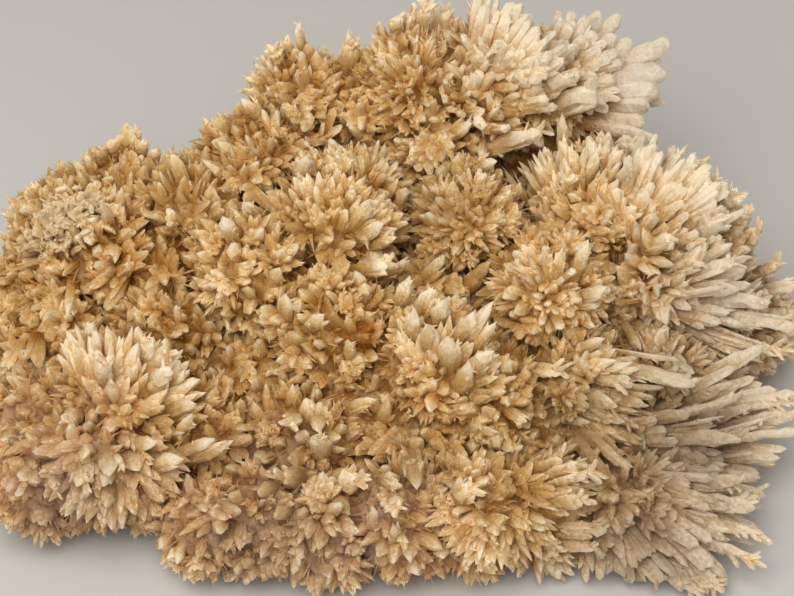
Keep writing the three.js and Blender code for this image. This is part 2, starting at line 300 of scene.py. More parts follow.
# The rosettes behind: [x, y, z, radius] in the specimen's own frame.
BACK_ROSETTES = (
    (-76, 26, 20, 17),
    (-45, 46, 21, 19),
    (-26, 50, 36, 16),
    (0, 56, 26, 22),
    (42, 58, 30, 22),
    (74, 27, 20, 17),
)

# The low, wide body that they all grow from.
BASE_CENTRE = np.array((0.0, 0.0, 16.0))
BASE_RADII = np.array((82.0, 46.0, 18.0))

# Sprays: small tufts of crystals from one root on the face: [x, y, across, up and out of its
# axis, reach, spread in degrees, number, width, form, region].
SPRAYS = (
    (124, 174, -0.05, 0.75, 0.65, 12, 40, 16, 4.0, "leaf", "upper_left"),
    (104, 214, -0.1, 0.5, 0.85, 16, 66, 24, 4.4, "leaf", "upper_left"),
    (44, 245, -0.7, 0.2, 0.7, 17, 60, 10, 4.6, "leaf", "upper_left"),
    (40, 306, -0.5, -0.2, 0.8, 16, 55, 10, 4.2, "leaf", "upper_left"),
    (136, 228, 0.1, 0.2, 0.95, 14, 58, 12, 3.8, "leaf", "upper_left"),
    (118, 270, 0, -0.1, 1, 13, 62, 12, 4.6, "knob", "upper_left"),
    (60, 200, -0.45, 0.6, 0.5, 12, 56, 16, 4.0, "leaf", "upper_left"),
    (70, 330, 0.1, -0.3, 0.95, 13, 55, 9, 4.2, "leaf", "upper_left"),
    (185, 195, 0, 0.6, 0.8, 16, 58, 12, 4.8, "leaf", "upper_left"),
    (228, 158, -0.3, 0.7, 0.55, 17, 55, 12, 4.4, "leaf", "upper_left"),
    (262, 146, 0, 0.5, 0.85, 15, 58, 12, 4.2, "leaf", "upper_left"),
    (176, 282, 0.1, 0.4, 0.9, 13, 52, 11, 4.4, "leaf", "upper_left"),
    (224, 222, 0.1, 0.3, 0.95, 13, 60, 12, 4.8, "leaf", "upper_left"),
    (307, 84, 0, 0.5, 0.85, 18, 74, 26, 4.2, "leaf", "crown"),
    (290, 130, 0.1, 0.5, 0.85, 13, 60, 12, 3.8, "leaf", "crown"),
    (326, 128, 0.3, 0.5, 0.8, 12, 55, 10, 4.6, "slab", "crown"),
    (374, 180, 0.2, 0.3, 0.92, 14, 70, 52, 2.4, "knob", "middle"),
    (280, 190, 0, 0.35, 0.93, 14, 60, 13, 4.4, "leaf", "middle"),
    (322, 200, 0.1, 0.4, 0.9, 14, 60, 13, 4.4, "leaf", "middle"),
    (300, 240, 0, 0.2, 0.98, 11, 66, 22, 2.4, "spike", "middle"),
    (236, 270, 0, 0.15, 0.98, 11, 60, 12, 4.6, "knob", "middle"),
    (400, 72, -0.3, 0.45, 0.83, 17, 72, 70, 2.8, "knob", "crown"),
    (408, 118, -0.1, 0, 1, 14, 72, 50, 2.6, "knob", "crown"),
    (430, 155, 0.1, -0.35, 0.93, 13, 58, 18, 3.2, "knob", "crown"),
    (440, 42, 0, 0.7, 0.65, 14, 60, 14, 4.4, "leaf", "crown"),
    (498, 44, 0.1, 0.7, 0.65, 16, 55, 18, 4.4, "column", "crown"),
    (548, 56, 0.5, 0.65, 0.55, 16, 50, 16, 4.8, "column", "crown"),
    (460, 90, 0.2, 0.45, 0.9, 14, 60, 20, 4.0, "column", "crown"),
    (500, 120, 0.4, 0.2, 0.9, 15, 54, 16, 4.6, "column", "crown"),
    (555, 180, -0.1, 0.75, 0.62, 16, 42, 14, 4, "leaf", "right_dome"),
    (520, 185, -0.25, 0.5, 0.83, 13, 58, 20, 2.8, "spike", "right_dome"),
    (466, 218, -0.1, 0.25, 0.97, 14, 74, 56, 2.8, "knob", "right_dome"),
    (560, 222, 0, 0.35, 0.93, 12, 58, 14, 3.8, "knob", "right_dome"),
    (545, 292, -0.15, 0.05, 1, 16, 82, 80, 3.2, "column", "right_dome"),
    (622, 184, 0.1, 0.6, 0.8, 15, 55, 14, 4.8, "leaf", "right_dome"),
    (676, 198, 0.45, 0.65, 0.6, 17, 52, 16, 4.8, "leaf", "right_dome"),
    (722, 238, 0.75, 0.4, 0.5, 18, 48, 14, 5, "knob", "right_dome"),
    (660, 240, 0.45, 0.35, 0.83, 18, 50, 12, 5.6, "blade", "right_dome"),
    (752, 310, 0.9, 0.1, 0.4, 17, 45, 12, 5.4, "blade", "right_dome"),
    (612, 320, 0.2, -0.1, 0.97, 12, 55, 14, 4.4, "blade", "lower_right"),
    (530, 392, 0.3, -0.25, 0.93, 14, 55, 14, 3.8, "leaf", "middle"),
    (620, 452, 0.6, -0.1, 0.8, 15, 55, 16, 4, "blade", "lower_right"),
    (615, 515, 0.1, -0.5, 0.85, 13, 55, 14, 4.8, "leaf", "lower_right"),
    (470, 300, 0.15, 0.5, 0.85, 12, 55, 12, 4.4, "leaf", "middle"),
    (370, 330, 0, 0.2, 0.98, 10, 68, 22, 2.4, "spike", "middle"),
    (430, 398, 0, 0, 1, 11, 70, 20, 3, "spike", "middle"),
    (290, 312, 0.1, 0.2, 0.98, 12, 62, 12, 4.6, "knob", "middle"),
    (198, 335, -0.2, 0.05, 0.98, 12, 60, 12, 4, "leaf", "lower_left"),
    (300, 352, 0, 0.1, 1, 10, 60, 12, 4.2, "leaf", "middle"),
    (332, 388, 0, 0.3, 0.95, 12, 58, 12, 4.8, "leaf", "middle"),
    (258, 383, 0, 0.05, 1, 12, 60, 12, 4.2, "leaf", "middle"),
    (232, 428, 0.1, 0.1, 0.98, 11, 58, 12, 4, "leaf", "lower_left"),
    (312, 434, 0, 0.2, 0.98, 12, 58, 12, 4.6, "leaf", "middle"),
    (300, 485, 0, -0.1, 0.98, 13, 62, 12, 6, "leaf", "skirt"),
    (402, 462, 0.1, -0.2, 0.97, 12, 52, 11, 5.4, "leaf", "middle"),
    (452, 434, 0.4, -0.2, 0.88, 13, 52, 12, 4.6, "leaf", "middle"),
    (118, 392, 0.05, 0.35, 0.93, 17, 64, 18, 5.4, "leaf", "lower_left"),
    (116, 425, 0, 0, 1, 14, 62, 16, 3.8, "leaf", "lower_left"),
    (38, 400, -0.3, 0.25, 0.92, 15, 62, 14, 4.4, "leaf", "lower_left"),
    (52, 450, -0.3, -0.2, 0.93, 14, 60, 13, 4.8, "leaf", "lower_left"),
    (175, 440, 0.6, 0, 0.8, 15, 48, 12, 5.4, "leaf", "lower_left"),
    (90, 488, -0.1, -0.6, 0.78, 14, 62, 16, 6, "leaf", "lower_left"),
    (22, 492, -0.2, -0.6, 0.76, 13, 58, 13, 5.4, "leaf", "lower_left"),
    (172, 508, 0.1, -0.55, 0.8, 12, 58, 12, 5.4, "leaf", "skirt"),
    (215, 534, -0.1, -0.7, 0.68, 13, 60, 14, 5, "leaf", "skirt"),
    (322, 541, -0.1, -0.7, 0.68, 13, 62, 14, 5, "leaf", "skirt"),
    (400, 546, 0, -0.65, 0.73, 14, 60, 14, 5.2, "leaf", "skirt"),
    (478, 544, 0.1, -0.65, 0.73, 14, 58, 14, 5, "leaf", "skirt"),
    (512, 480, 0.1, 0.2, 0.95, 14, 78, 56, 2.4, "leaf", "skirt"),
    (540, 526, 0.6, -0.45, 0.6, 14, 55, 13, 4.6, "blade", "skirt"),
)

# The large single crystals: [x, y of the root, x, y of the tip, rise of the tip over the mass,
# width, form].
LARGE_CRYSTALS = (
    # The upper left dome and the shoulder.
    (118, 160, 110, 139, 1, 4.4, "leaf"), (137, 162, 145, 139, 1, 4.4, "leaf"),
    (108, 164, 97, 146, 1, 4.0, "leaf"), (148, 168, 160, 148, 1, 4.0, "leaf"),
    (124, 158, 118, 134, 2, 3.6, "leaf"), (133, 158, 136, 136, 2, 3.6, "leaf"),
    (128, 160, 128, 123, 1, 6.0, "leaf"), (96, 180, 86, 152, 1, 3.6, "leaf"),
    (70, 185, 56, 160, 0, 3.6, "leaf"), (48, 205, 30, 182, 0, 3.6, "leaf"),
    (30, 230, 12, 216, 0, 3.6, "leaf"), (192, 200, 172, 152, 2, 4.6, "leaf"),
    (238, 215, 228, 186, 4, 4.2, "leaf"), (260, 222, 242, 203, 5, 4.6, "leaf"),
    (268, 205, 257, 168, 3, 5, "leaf"), (207, 228, 219, 200, 4, 4.4, "leaf"),
    (236, 250, 224, 217, 4, 5, "leaf"), (184, 236, 214, 228, 5, 4, "leaf"),
    (172, 238, 173, 220, 6, 3.6, "knob"), (228, 145, 217, 117, 0, 4, "leaf"),
    # The upper middle dome.
    (328, 52, 332, 19, 0, 6, "knob"), (346, 62, 353, 24, 0, 2.8, "spike"),
    (312, 52, 314, 24, 1, 5, "knob"), (318, 48, 322, 20, 0, 4.4, "leaf"),
    (292, 62, 284, 36, 0, 4.4, "leaf"), (338, 60, 343, 30, 1, 4.4, "knob"),
    (284, 74, 274, 50, 0, 4.4, "knob"),
    (346, 84, 351, 44, 2, 5.2, "knob"), (304, 58, 298, 22, 0, 4, "leaf"),
    (276, 100, 264, 64, 0, 4, "leaf"), (272, 104, 250, 73, 0, 3.6, "leaf"),
    (268, 112, 246, 85, 0, 3.6, "leaf"), (268, 128, 242, 98, 1, 4.2, "leaf"),
    (298, 132, 287, 103, 3, 3.4, "leaf"), (300, 190, 312, 155, 4, 6.2, "leaf"),
    # The centre mound.
    (338, 238, 374, 203, 5, 5.4, "leaf"), (350, 246, 384, 222, 6, 4.8, "leaf"),
    (362, 250, 396, 234, 5, 4, "leaf"), (342, 208, 355, 190, 5, 3.4, "leaf"),
    (345, 272, 390, 262, 6, 4.6, "knob"), (372, 280, 411, 263, 5, 4, "leaf"),
    (394, 218, 405, 186, 3, 3.6, "leaf"),
    # The plume.
    (448, 40, 446, 8, 0, 4.6, "knob"), (408, 36, 410, 8, 0, 4, "knob"),
    (396, 40, 394, 16, 0, 4.4, "knob"), (422, 36, 426, 6, 0, 4.4, "knob"),
    (384, 46, 380, 22, 0, 4.0, "leaf"), (434, 36, 436, 4, 0, 3.6, "leaf"),
    (384, 56, 370, 32, 0, 3, "spike"), (376, 72, 362, 46, 0, 3, "spike"),
    (478, 34, 474, 10, 0, 4, "knob"), (576, 42, 594, 8, 0, 5, "lobe"),
    (586, 50, 604, 16, 0, 5, "lobe"), (588, 52, 624, 20, 0, 5.6, "lobe"),
    (582, 62, 618, 36, 0, 5.6, "lobe"), (585, 76, 672, 45, -2, 7.4, "lobe"),
    (575, 84, 667, 70, -1, 8.4, "lobe"), (578, 96, 660, 90, 0, 7.6, "lobe"),
    (580, 106, 650, 108, 1, 7.0, "lobe"), (592, 118, 646, 119, -2, 5.0, "lobe"),
    (596, 78, 646, 54, 3, 5.6, "lobe"), (606, 84, 662, 58, 2, 4.6, "lobe"),
    (600, 92, 656, 82, 3, 5.0, "lobe"), (606, 100, 644, 96, 4, 5.2, "lobe"),
    (612, 78, 664, 76, 1, 4.4, "lobe"), (596, 104, 640, 84, 4, 4.8, "lobe"),
    (616, 96, 664, 104, 1, 4.4, "lobe"), (600, 66, 640, 56, 2, 4.4, "lobe"),
    (596, 126, 660, 137, -2, 5.6, "lobe"), (585, 72, 634, 42, -2, 6.6, "lobe"),
    (492, 118, 532, 72, 4, 8, "column"), (470, 92, 486, 52, 4, 6.4, "column"),
    (510, 100, 540, 68, 5, 5.6, "column"), (525, 106, 570, 74, 5, 6.4, "column"),
    (528, 122, 594, 88, 6, 7, "column"), (486, 152, 542, 130, 6, 5.6, "column"),
    (470, 172, 494, 158, 4, 3.6, "leaf"), (424, 138, 436, 96, 4, 4.4, "leaf"),
    (440, 146, 472, 120, 4, 5, "leaf"),
    # The right dome.
    (562, 160, 563, 113, 3, 3.6, "leaf"), (548, 185, 547, 146, 2, 3.8, "leaf"),
    (582, 190, 600, 152, 3, 3.8, "leaf"), (566, 206, 568, 178, 4, 4.2, "knob"),
    (618, 200, 627, 164, 3, 4.2, "leaf"), (636, 172, 632, 140, 2, 4.8, "knob"),
    (664, 184, 674, 144, 1, 4.6, "leaf"), (686, 190, 702, 160, 1, 3.6, "knob"),
    (700, 204, 716, 180, 1, 4, "knob"), (712, 216, 734, 196, 0, 4.6, "knob"),
    (730, 240, 750, 209, 0, 4.6, "knob"), (734, 258, 761, 230, 0, 5, "knob"),
    (740, 284, 779, 262, 0, 4.5, "knob"), (752, 296, 800, 284, 0, 4.0, "knob"),
    (560, 292, 505, 262, 7, 2.8, "spike"), (548, 292, 529, 256, 7, 2.8, "spike"),
    (548, 290, 545, 248, 6, 2.6, "spike"), (554, 290, 561, 244, 6, 3, "spike"),
    (565, 296, 589, 240, 5, 4.2, "leaf"), (570, 300, 606, 290, 7, 4.4, "leaf"),
    (616, 262, 675, 236, 6, 6.4, "slab"), (640, 280, 704, 257, 7, 4.3, "slab"),
    (655, 290, 734, 262, 7, 4.5, "slab"), (692, 262, 714, 216, 3, 7, "slab"),
    (640, 292, 740, 286, 6, 4.5, "slab"), (655, 300, 772, 300, 4, 4.8, "slab"),
    (665, 306, 800, 326, 3, 4.8, "slab"), (655, 312, 790, 352, 4, 4.3, "slab"),
    (650, 316, 762, 366, 5, 4.0, "blade"), (640, 318, 724, 382, 6, 4.3, "slab"),
    (632, 320, 690, 384, 6, 4.0, "slab"), (628, 318, 662, 366, 6, 3.4, "blade"),
    (618, 312, 640, 354, 6, 3.6, "leaf"), (560, 366, 603, 334, 4, 4, "leaf"),
    # Below the right dome.
    (578, 352, 697, 386, 7, 5.2, "slab"), (566, 368, 630, 386, 6, 4.6, "slab"),
    (530, 380, 618, 410, 6, 5.6, "slab"), (512, 366, 562, 370, 6, 4.6, "slab"),
    (636, 386, 672, 438, 7, 2.2, "spike"), (500, 404, 528, 424, 5, 3, "leaf"),
    (540, 408, 592, 426, 4, 4.4, "leaf"), (632, 428, 736, 400, 4, 4.0, "slab"),
    (650, 418, 800, 396, 0, 5.9, "slab"), (660, 438, 800, 412, 0, 5.2, "slab"),
    (626, 440, 742, 436, 3, 5.2, "slab"), (650, 450, 800, 430, 0, 3.3, "slab"),
    (620, 460, 682, 468, 5, 4.6, "slab"), (636, 470, 743, 484, 3, 4.8, "slab"),
    (660, 478, 766, 492, -4, 4.3, "slab"), (640, 492, 756, 506, -2, 5.2, "slab"),
    (636, 505, 764, 536, 0, 4.9, "slab"), (634, 520, 758, 562, 0, 4.6, "slab"),
    (630, 530, 718, 586, 1, 4.6, "slab"), (622, 530, 702, 592, 2, 5.5, "slab"),
    (612, 530, 660, 584, 2, 5.5, "slab"), (604, 530, 624, 576, 2, 5.6, "leaf"),
    # The middle of the face.
    (412, 290, 446, 256, 5, 3.8, "leaf"), (458, 298, 492, 262, 5, 5.4, "leaf"),
    (394, 322, 411, 278, 4, 4.6, "leaf"), (412, 330, 432, 286, 4, 5.4, "leaf"),
    (438, 338, 442, 296, 4, 5.6, "leaf"), (408, 356, 416, 308, 6, 5.6, "leaf"),
    (426, 364, 428, 322, 8, 4.4, "leaf"), (446, 352, 478, 312, 6, 5, "leaf"),
    (456, 360, 490, 299, 4, 4.6, "leaf"), (462, 362, 499, 322, 4, 4.2, "leaf"),
    (448, 384, 448, 336, 8, 6.2, "leaf"), (454, 386, 492, 346, 6, 5.4, "leaf"),
    (446, 402, 479, 366, 9, 6.4, "leaf"), (456, 410, 491, 392, 6, 4.4, "leaf"),
    (352, 380, 351, 340, 5, 4, "leaf"), (338, 414, 375, 398, 7, 4.4, "leaf"),
    (372, 430, 394, 404, 7, 5, "leaf"), (394, 430, 412, 409, 7, 1.8, "spike"),
    (448, 428, 498, 431, 6, 4.2, "leaf"), (410, 436, 417, 490, 7, 6, "leaf"),
    (328, 476, 358, 478, 6, 4.8, "leaf"), (372, 478, 401, 489, 7, 4, "leaf"),
    (376, 545, 372, 505, 6, 3.6, "leaf"), (396, 556, 395, 524, 7, 4, "leaf"),
    (452, 510, 464, 478, 6, 4.2, "leaf"), (264, 300, 282, 268, 5, 5, "leaf"),
    (282, 330, 290, 296, 6, 5.4, "leaf"), (300, 336, 326, 314, 5, 4.8, "leaf"),
    # The plump crystals over the front skirt.
    (320, 462, 322, 436, 6, 6.4, "knob"), (322, 482, 358, 481, 6, 7.4, "knob"),
    (314, 482, 282, 478, 6, 7.0, "knob"), (312, 500, 311, 540, 4, 7.0, "leaf"),
    (300, 496, 276, 520, 4, 6.0, "leaf"), (290, 486, 254, 490, 4, 5.4, "leaf"),
    (326, 492, 350, 512, 5, 5.6, "leaf"), (296, 410, 290, 426, 6, 5.6, "knob"),
    (316, 404, 320, 432, 6, 5.0, "leaf"), (446, 512, 472, 486, 6, 6.0, "knob"),
    (392, 494, 396, 508, 6, 5.6, "knob"), (236, 520, 226, 552, 3, 5.4, "leaf"),
    (364, 528, 352, 556, 3, 5.6, "leaf"), (438, 530, 444, 560, 3, 5.4, "leaf"),
    # The golden rosette of the front skirt and its long blades.
    (512, 482, 562, 455, 5, 4.2, "slab"), (516, 488, 580, 464, 5, 4, "slab"),
    (516, 494, 596, 472, 6, 4, "slab"), (520, 508, 584, 498, 5, 4.2, "slab"),
    (530, 528, 608, 528, 3, 4.8, "slab"), (528, 540, 598, 547, 3, 4.2, "slab"),
    # The big lower left rosette.
    (92, 352, 91, 322, 4, 4, "leaf"), (128, 362, 143, 328, 4, 4, "leaf"),
    (144, 378, 152, 336, 5, 4.4, "leaf"), (150, 386, 168, 350, 5, 4.4, "knob"),
    (148, 404, 166, 368, 8, 5.2, "knob"), (160, 396, 188, 374, 4, 4, "leaf"),
    (154, 418, 194, 400, 5, 5.4, "leaf"), (172, 446, 194, 413, 5, 4.4, "leaf"),
    (176, 466, 234, 443, 6, 4.4, "leaf"), (170, 458, 214, 436, 7, 3.8, "leaf"),
    (122, 442, 158, 446, 8, 5, "leaf"),
    (104, 392, 105, 360, 7, 4.4, "knob"), (140, 470, 182, 456, 8, 5, "leaf"),
    (200, 498, 244, 516, 4, 4.4, "leaf"), (104, 440, 112, 480, 8, 6, "leaf"),
    (126, 436, 138, 474, 7, 7.0, "leaf"), (150, 440, 178, 478, 5, 6.6, "leaf"),
    (84, 444, 84, 484, 6, 6.0, "knob"), (60, 456, 52, 490, 5, 6.0, "knob"),
    (34, 452, 24, 484, 5, 6.4, "knob"), (112, 470, 104, 506, 3, 6.0, "leaf"),
    (190, 486, 208, 512, 3, 6.0, "leaf"), (22, 430, 4, 446, 5, 5.6, "knob"),
    (88, 408, 66, 424, 6, 5.4, "knob"), (150, 496, 160, 516, 2, 5.6, "leaf"),
)

# Where the growth is stained or frosted, and where shade is painted as a greyish darkening of the
# lower right and a pinkish darkening of the low front: [x, y, radius in squares, strength] on the
# sheet.
STAIN_AND_SHADE_PATCHES = {
    "frost": (
        (575, 20, 80, 0.75), (640, 70, 60, 1.0), (500, 30, 60, 0.5), (655, 150, 50, 0.6),
        (705, 205, 55, 0.55), (740, 300, 70, 0.6), (795, 400, 60, 0.5), (740, 480, 70, 0.2),
        (700, 560, 60, 0.25), (620, 120, 40, 0.6), (470, 60, 40, 0.35),
    ),
    "gold": (
        (372, 185, 40, 0.9), (545, 290, 60, 0.9), (512, 478, 45, 0.8), (466, 218, 45, 0.6),
        (110, 420, 60, 0.3), (300, 240, 50, 0.5), (400, 90, 60, 0.35), (550, 200, 50, 0.35),
        (430, 390, 40, 0.6), (250, 270, 60, 0.5), (520, 140, 50, 0.5),
    ),
    "rust": (
        (365, 330, 9, 1.0), (434, 396, 8, 1.0), (110, 424, 9, 0.8), (262, 400, 10, 0.6),
        (372, 192, 9, 0.6), (60, 350, 14, 0.4), (8, 480, 26, 0.7),
    ),
    # Painted shade: a greyish darkening where less light falls, over the lower right and in a few
    # valleys.
    "veil": (
        (720, 310, 70, 0.5), (690, 450, 100, 0.95), (650, 560, 90, 0.95), (650, 90, 45, 0.4),
        (590, 420, 50, 0.6), (560, 570, 50, 0.5), (270, 450, 40, 0.3), (440, 200, 40, 0.3),
        (414, 465, 22, 0.3), (60, 520, 60, 0.4), (250, 570, 60, 0.4), (300, 560, 60, 0.4),
    ),
    "glass": (
        (62, 222, 34, 1.0), (92, 206, 24, 0.9), (34, 246, 22, 0.8), (445, 488, 16, 0.6),
    ),
    "pale": (
        (420, 100, 90, 0.4), (650, 240, 130, 0.6), (600, 330, 60, 0.4), (380, 540, 90, 0.4),
        (300, 485, 50, 0.5), (90, 480, 90, 0.7), (130, 400, 70, 0.4),
    ),
    # Painted shade: a pinkish darkening towards the bottom of the low front.
    "rose": (
        (60, 500, 90, 0.9), (170, 500, 60, 0.6), (250, 540, 70, 0.9), (380, 560, 90, 0.8),
        (300, 485, 50, 0.5), (640, 550, 60, 0.7), (60, 430, 50, 0.5), (110, 380, 30, 0.5),
        (20, 400, 40, 0.4),
    ),
}


def face_points(x, y, out):
    """Points of the specimen at sheet places and heights: each sheet step shrinks with height."""
    nearness = (1 - out / VIEWING_DISTANCE) * SHEET_SQUARE
    across = (x - SHEET_CENTRE[0]) * nearness
    up = (SHEET_CENTRE[1] - y) * nearness
    return (SHEET_MIDDLE + across[..., None] * ACROSS + up[..., None] * UPWARD
            + out[..., None] * OUTWARD)


def sheet_places(points):
    """The sheet places under points: face_points turned round."""
    offset = points - SHEET_MIDDLE
    nearness = (1 - offset @ OUTWARD / VIEWING_DISTANCE) * SHEET_SQUARE
    x = SHEET_CENTRE[0] + offset @ ACROSS / nearness
    y = SHEET_CENTRE[1] - offset @ UPWARD / nearness
    return x, y


FACE = np.array([row[:6] for row in FACE_ROSETTES], float)
BACK = np.array(BACK_ROSETTES, float)
CENTRES = np.concatenate((face_points(FACE[:, 0], FACE[:, 1], FACE[:, 2]), BACK[:, :3]))
RADII = np.concatenate((FACE[:, 3], BACK[:, 3]))


def mass_height(x, y):
    """How far the mass stands out of the sheet: the highest of the rosette balls, each a
    hemisphere over its own disc and a slope of one in one beside it."""
    away = np.hypot(x[:, None] - FACE[:, 0], y[:, None] - FACE[:, 1]) * SHEET_SQUARE
    radius = FACE[:, 3]
    over = FACE[:, 2] + np.sqrt(np.maximum(radius ** 2 - away ** 2, 0))
    beside = FACE[:, 2] + radius - away
    return np.where(away < radius, over, beside).max(axis=1)


def smooth_height(x, y):
    """The mass height with its valleys part filled: the logarithm of the sum of exponentials."""
    softness = 3.0
    away = np.hypot(x[:, None] - FACE[:, 0], y[:, None] - FACE[:, 1]) * SHEET_SQUARE
    radius = FACE[:, 3]
    heights = FACE[:, 2] + np.where(away < radius, np.sqrt(np.maximum(radius ** 2 - away ** 2, 0)),
                                    radius - away)
    return softness * np.log(np.exp(heights / softness).sum(axis=1))


def unit(vectors):
    """Vectors brought to length one."""
    return vectors / np.maximum(np.linalg.norm(vectors, axis=-1, keepdims=True), 1e-9)


def spread_directions(count):
    """Directions evenly over a sphere: equal steps of height, each a golden angle round."""
    step = np.arange(count) + 0.5
    height = 1 - 2 * step / count
    ring = np.sqrt(1 - height ** 2)
    turn = GOLDEN_ANGLE * step
    return np.stack((ring * np.cos(turn), ring * np.sin(turn), height), axis=1)


def batch(root, tip, facing, width, form, ragged, tone=0.5):
    """Crystals as whole arrays, one row each: where they start and end, which way their flat
    face looks, their width, form and raggedness, and how pale they are from 0 to 1."""
    count = len(root)
    rows = {"root": root, "tip": tip, "facing": np.broadcast_to(facing, (count, 3))}
    for key, value in (("width", width), ("form", form), ("ragged", ragged), ("tone", tone)):
        rows[key] = np.broadcast_to(value, (count,))
    return {key: np.array(values) for key, values in rows.items()}


def picked(crystals, which):
    """The rows of a batch that a mask or a list of rows names."""
    return {key: values[which] for key, values in crystals.items()}


def joined(batches):
    """Several batches as one."""
    return {key: np.concatenate([one[key] for one in batches]) for key in batches[0]}


def gap_to_balls(points, skip=None):
    """How far points lie outside the nearest rosette ball, below zero inside it."""
    gaps = np.linalg.norm(points[:, None] - CENTRES, axis=2) - RADII
    if skip is not None:
        gaps[:, skip] = np.inf
    return gaps.min(axis=1)


def gap_to_mass(points):
    """How far points lie outside the balls and the base: for the base, the way along its own
    radius."""
    scaled = np.linalg.norm((points - BASE_CENTRE) / BASE_RADII, axis=1)
    away = np.linalg.norm(points - BASE_CENTRE, axis=1)
    return np.minimum(gap_to_balls(points), away * (1 - 1 / np.maximum(scaled, TINY)))


def gap_to_axes(points, crystals):
    """How far points lie from the nearest crystal axis, less half that crystal's width."""
    along = crystals["tip"] - crystals["root"]
    offset = points[:, None] - crystals["root"]
    share = np.clip((offset * along).sum(2) / (along ** 2).sum(1), 0, 1)
    gaps = np.linalg.norm(offset - share[..., None] * along, axis=2) - crystals["width"] / 2
    return gaps.min(axis=1)


def standing_out(points, crystals, depth, own=False):
    """Which points stand outside the bodies of a batch by more than a depth, a part at a time.
    A body is taken as its axis with two fifths of its width round it, closing at the tip. With
    own, each point is the tip of the crystal of its row, which is passed over."""
    keep = []
    part_size = 500
    along = crystals["tip"] - crystals["root"]
    for start in range(0, len(points), part_size):
        part = points[start:start + part_size]
        offset = part[:, None] - crystals["root"]
        share = np.clip((offset * along).sum(2) / (along ** 2).sum(1), 0, 1)
        gaps = np.linalg.norm(offset - share[..., None] * along, axis=2)
        gaps = gaps - crystals["width"] * 0.4 * (1 - share ** 3)
        if own:
            rows = np.arange(len(part))
            gaps[rows, start + rows] = np.inf
        keep.append(gaps.min(axis=1) > depth)
    return np.concatenate(keep)


def openness(points):
    """How far points stand out of the mass, less where several rosette balls are near: the
    logarithm of the sum of exponentials of the gaps to the balls, a part at a time."""
    softness = 4.0
    found = []
    part_size = 50000
    for part in np.array_split(points, max(1, len(points) // part_size)):
        gaps = np.linalg.norm(part[:, None] - CENTRES, axis=2) - RADII
        found.append(-softness * np.log(np.exp(-gaps / softness).sum(axis=1)))
    return np.concatenate(found)


def crystal_axes(crystals, rng):
    """The unit vectors along, across and through each crystal, rolled a little round the first,
    and its length."""
    along = crystals["tip"] - crystals["root"]
    length = np.linalg.norm(along, axis=1)
    axis = along / length[:, None]
    side = unit(np.cross(axis, crystals["facing"]) + TINY)
    roll = rng.normal(0, ROLL_SPREAD, len(length))[:, None]
    thick = np.cross(axis, side)
    side = unit(side * np.cos(roll) + thick * np.sin(roll))
    return axis, side, np.cross(axis, side), length


def half_widths(crystals, way, rng):
    """Half the width of each crystal at shares of its length: it swells by a quarter sine from
    the root to its widest place, and then falls as a power of one less a power of the way that
    is left to the tip. Gives that way too."""
    count = len(crystals["root"])
    foot, widest, blunt, closing, _ = FORM_TABLE[crystals["form"]].T[:, :, None]
    widest = np.clip(widest * rng.normal(1, WIDEST_SPREAD, (count, 1)), *WIDEST_LIMITS)
    blunt = blunt * rng.uniform(*BLUNT_RANGE, (count, 1))
    rise = np.clip(way / widest, 0, 1)
    fall = np.clip((way - widest) / (1 - widest), 0, 1)
    half = (foot + (1 - foot) * np.sin(rise * math.pi / 2)) * (1 - fall ** blunt) ** closing
    return half * crystals["width"][:, None] / 2, fall


def raggedness(crystals, way, across, rng):
    """How far the edges stand in or out, as shares of the width: a sine wave down either edge,
    times a random share for each point."""
    count, rings, sides = len(crystals["root"]), len(way), len(across)
    ragged = crystals["ragged"][:, None, None]
    waves = rng.uniform(*SCALLOP_WAVES, (count, 1, 2)) * way[:, None]
    waves = waves + rng.uniform(0, 1, (count, 1, 2))
    scallops = 1 + ragged * SCALLOP_DEPTH * np.sin(2 * math.pi * waves)
    edges = np.where(across > 0, scallops[:, :, :1], scallops[:, :, 1:])
    shares = edges * (1 + ragged * rng.normal(0, EDGE_SPREAD, (count, rings, sides)))
    return np.clip(shares, *EDGE_LIMITS)


def tube_triangles(rings, sides):
    """The triangles of one closed crystal, whose points are its rings one after another from
    the root, the tip and the heel."""
    here = np.arange(sides)
    after = (here + 1) % sides
    low = (np.arange(rings - 1) * sides)[:, None]
    band = np.stack((
        np.stack((low + here, low + after, low + sides + after), axis=2),
        np.stack((low + here, low + sides + after, low + sides + here), axis=2)), axis=2)
    top = (rings - 1) * sides
    tip = np.full(sides, rings * sides)
    tip_cap = np.stack((top + here, top + after, tip), axis=1)
    heel_cap = np.stack((after, here, tip + 1), axis=1)
    return np.concatenate((band.reshape(-1, 3), tip_cap, heel_cap))


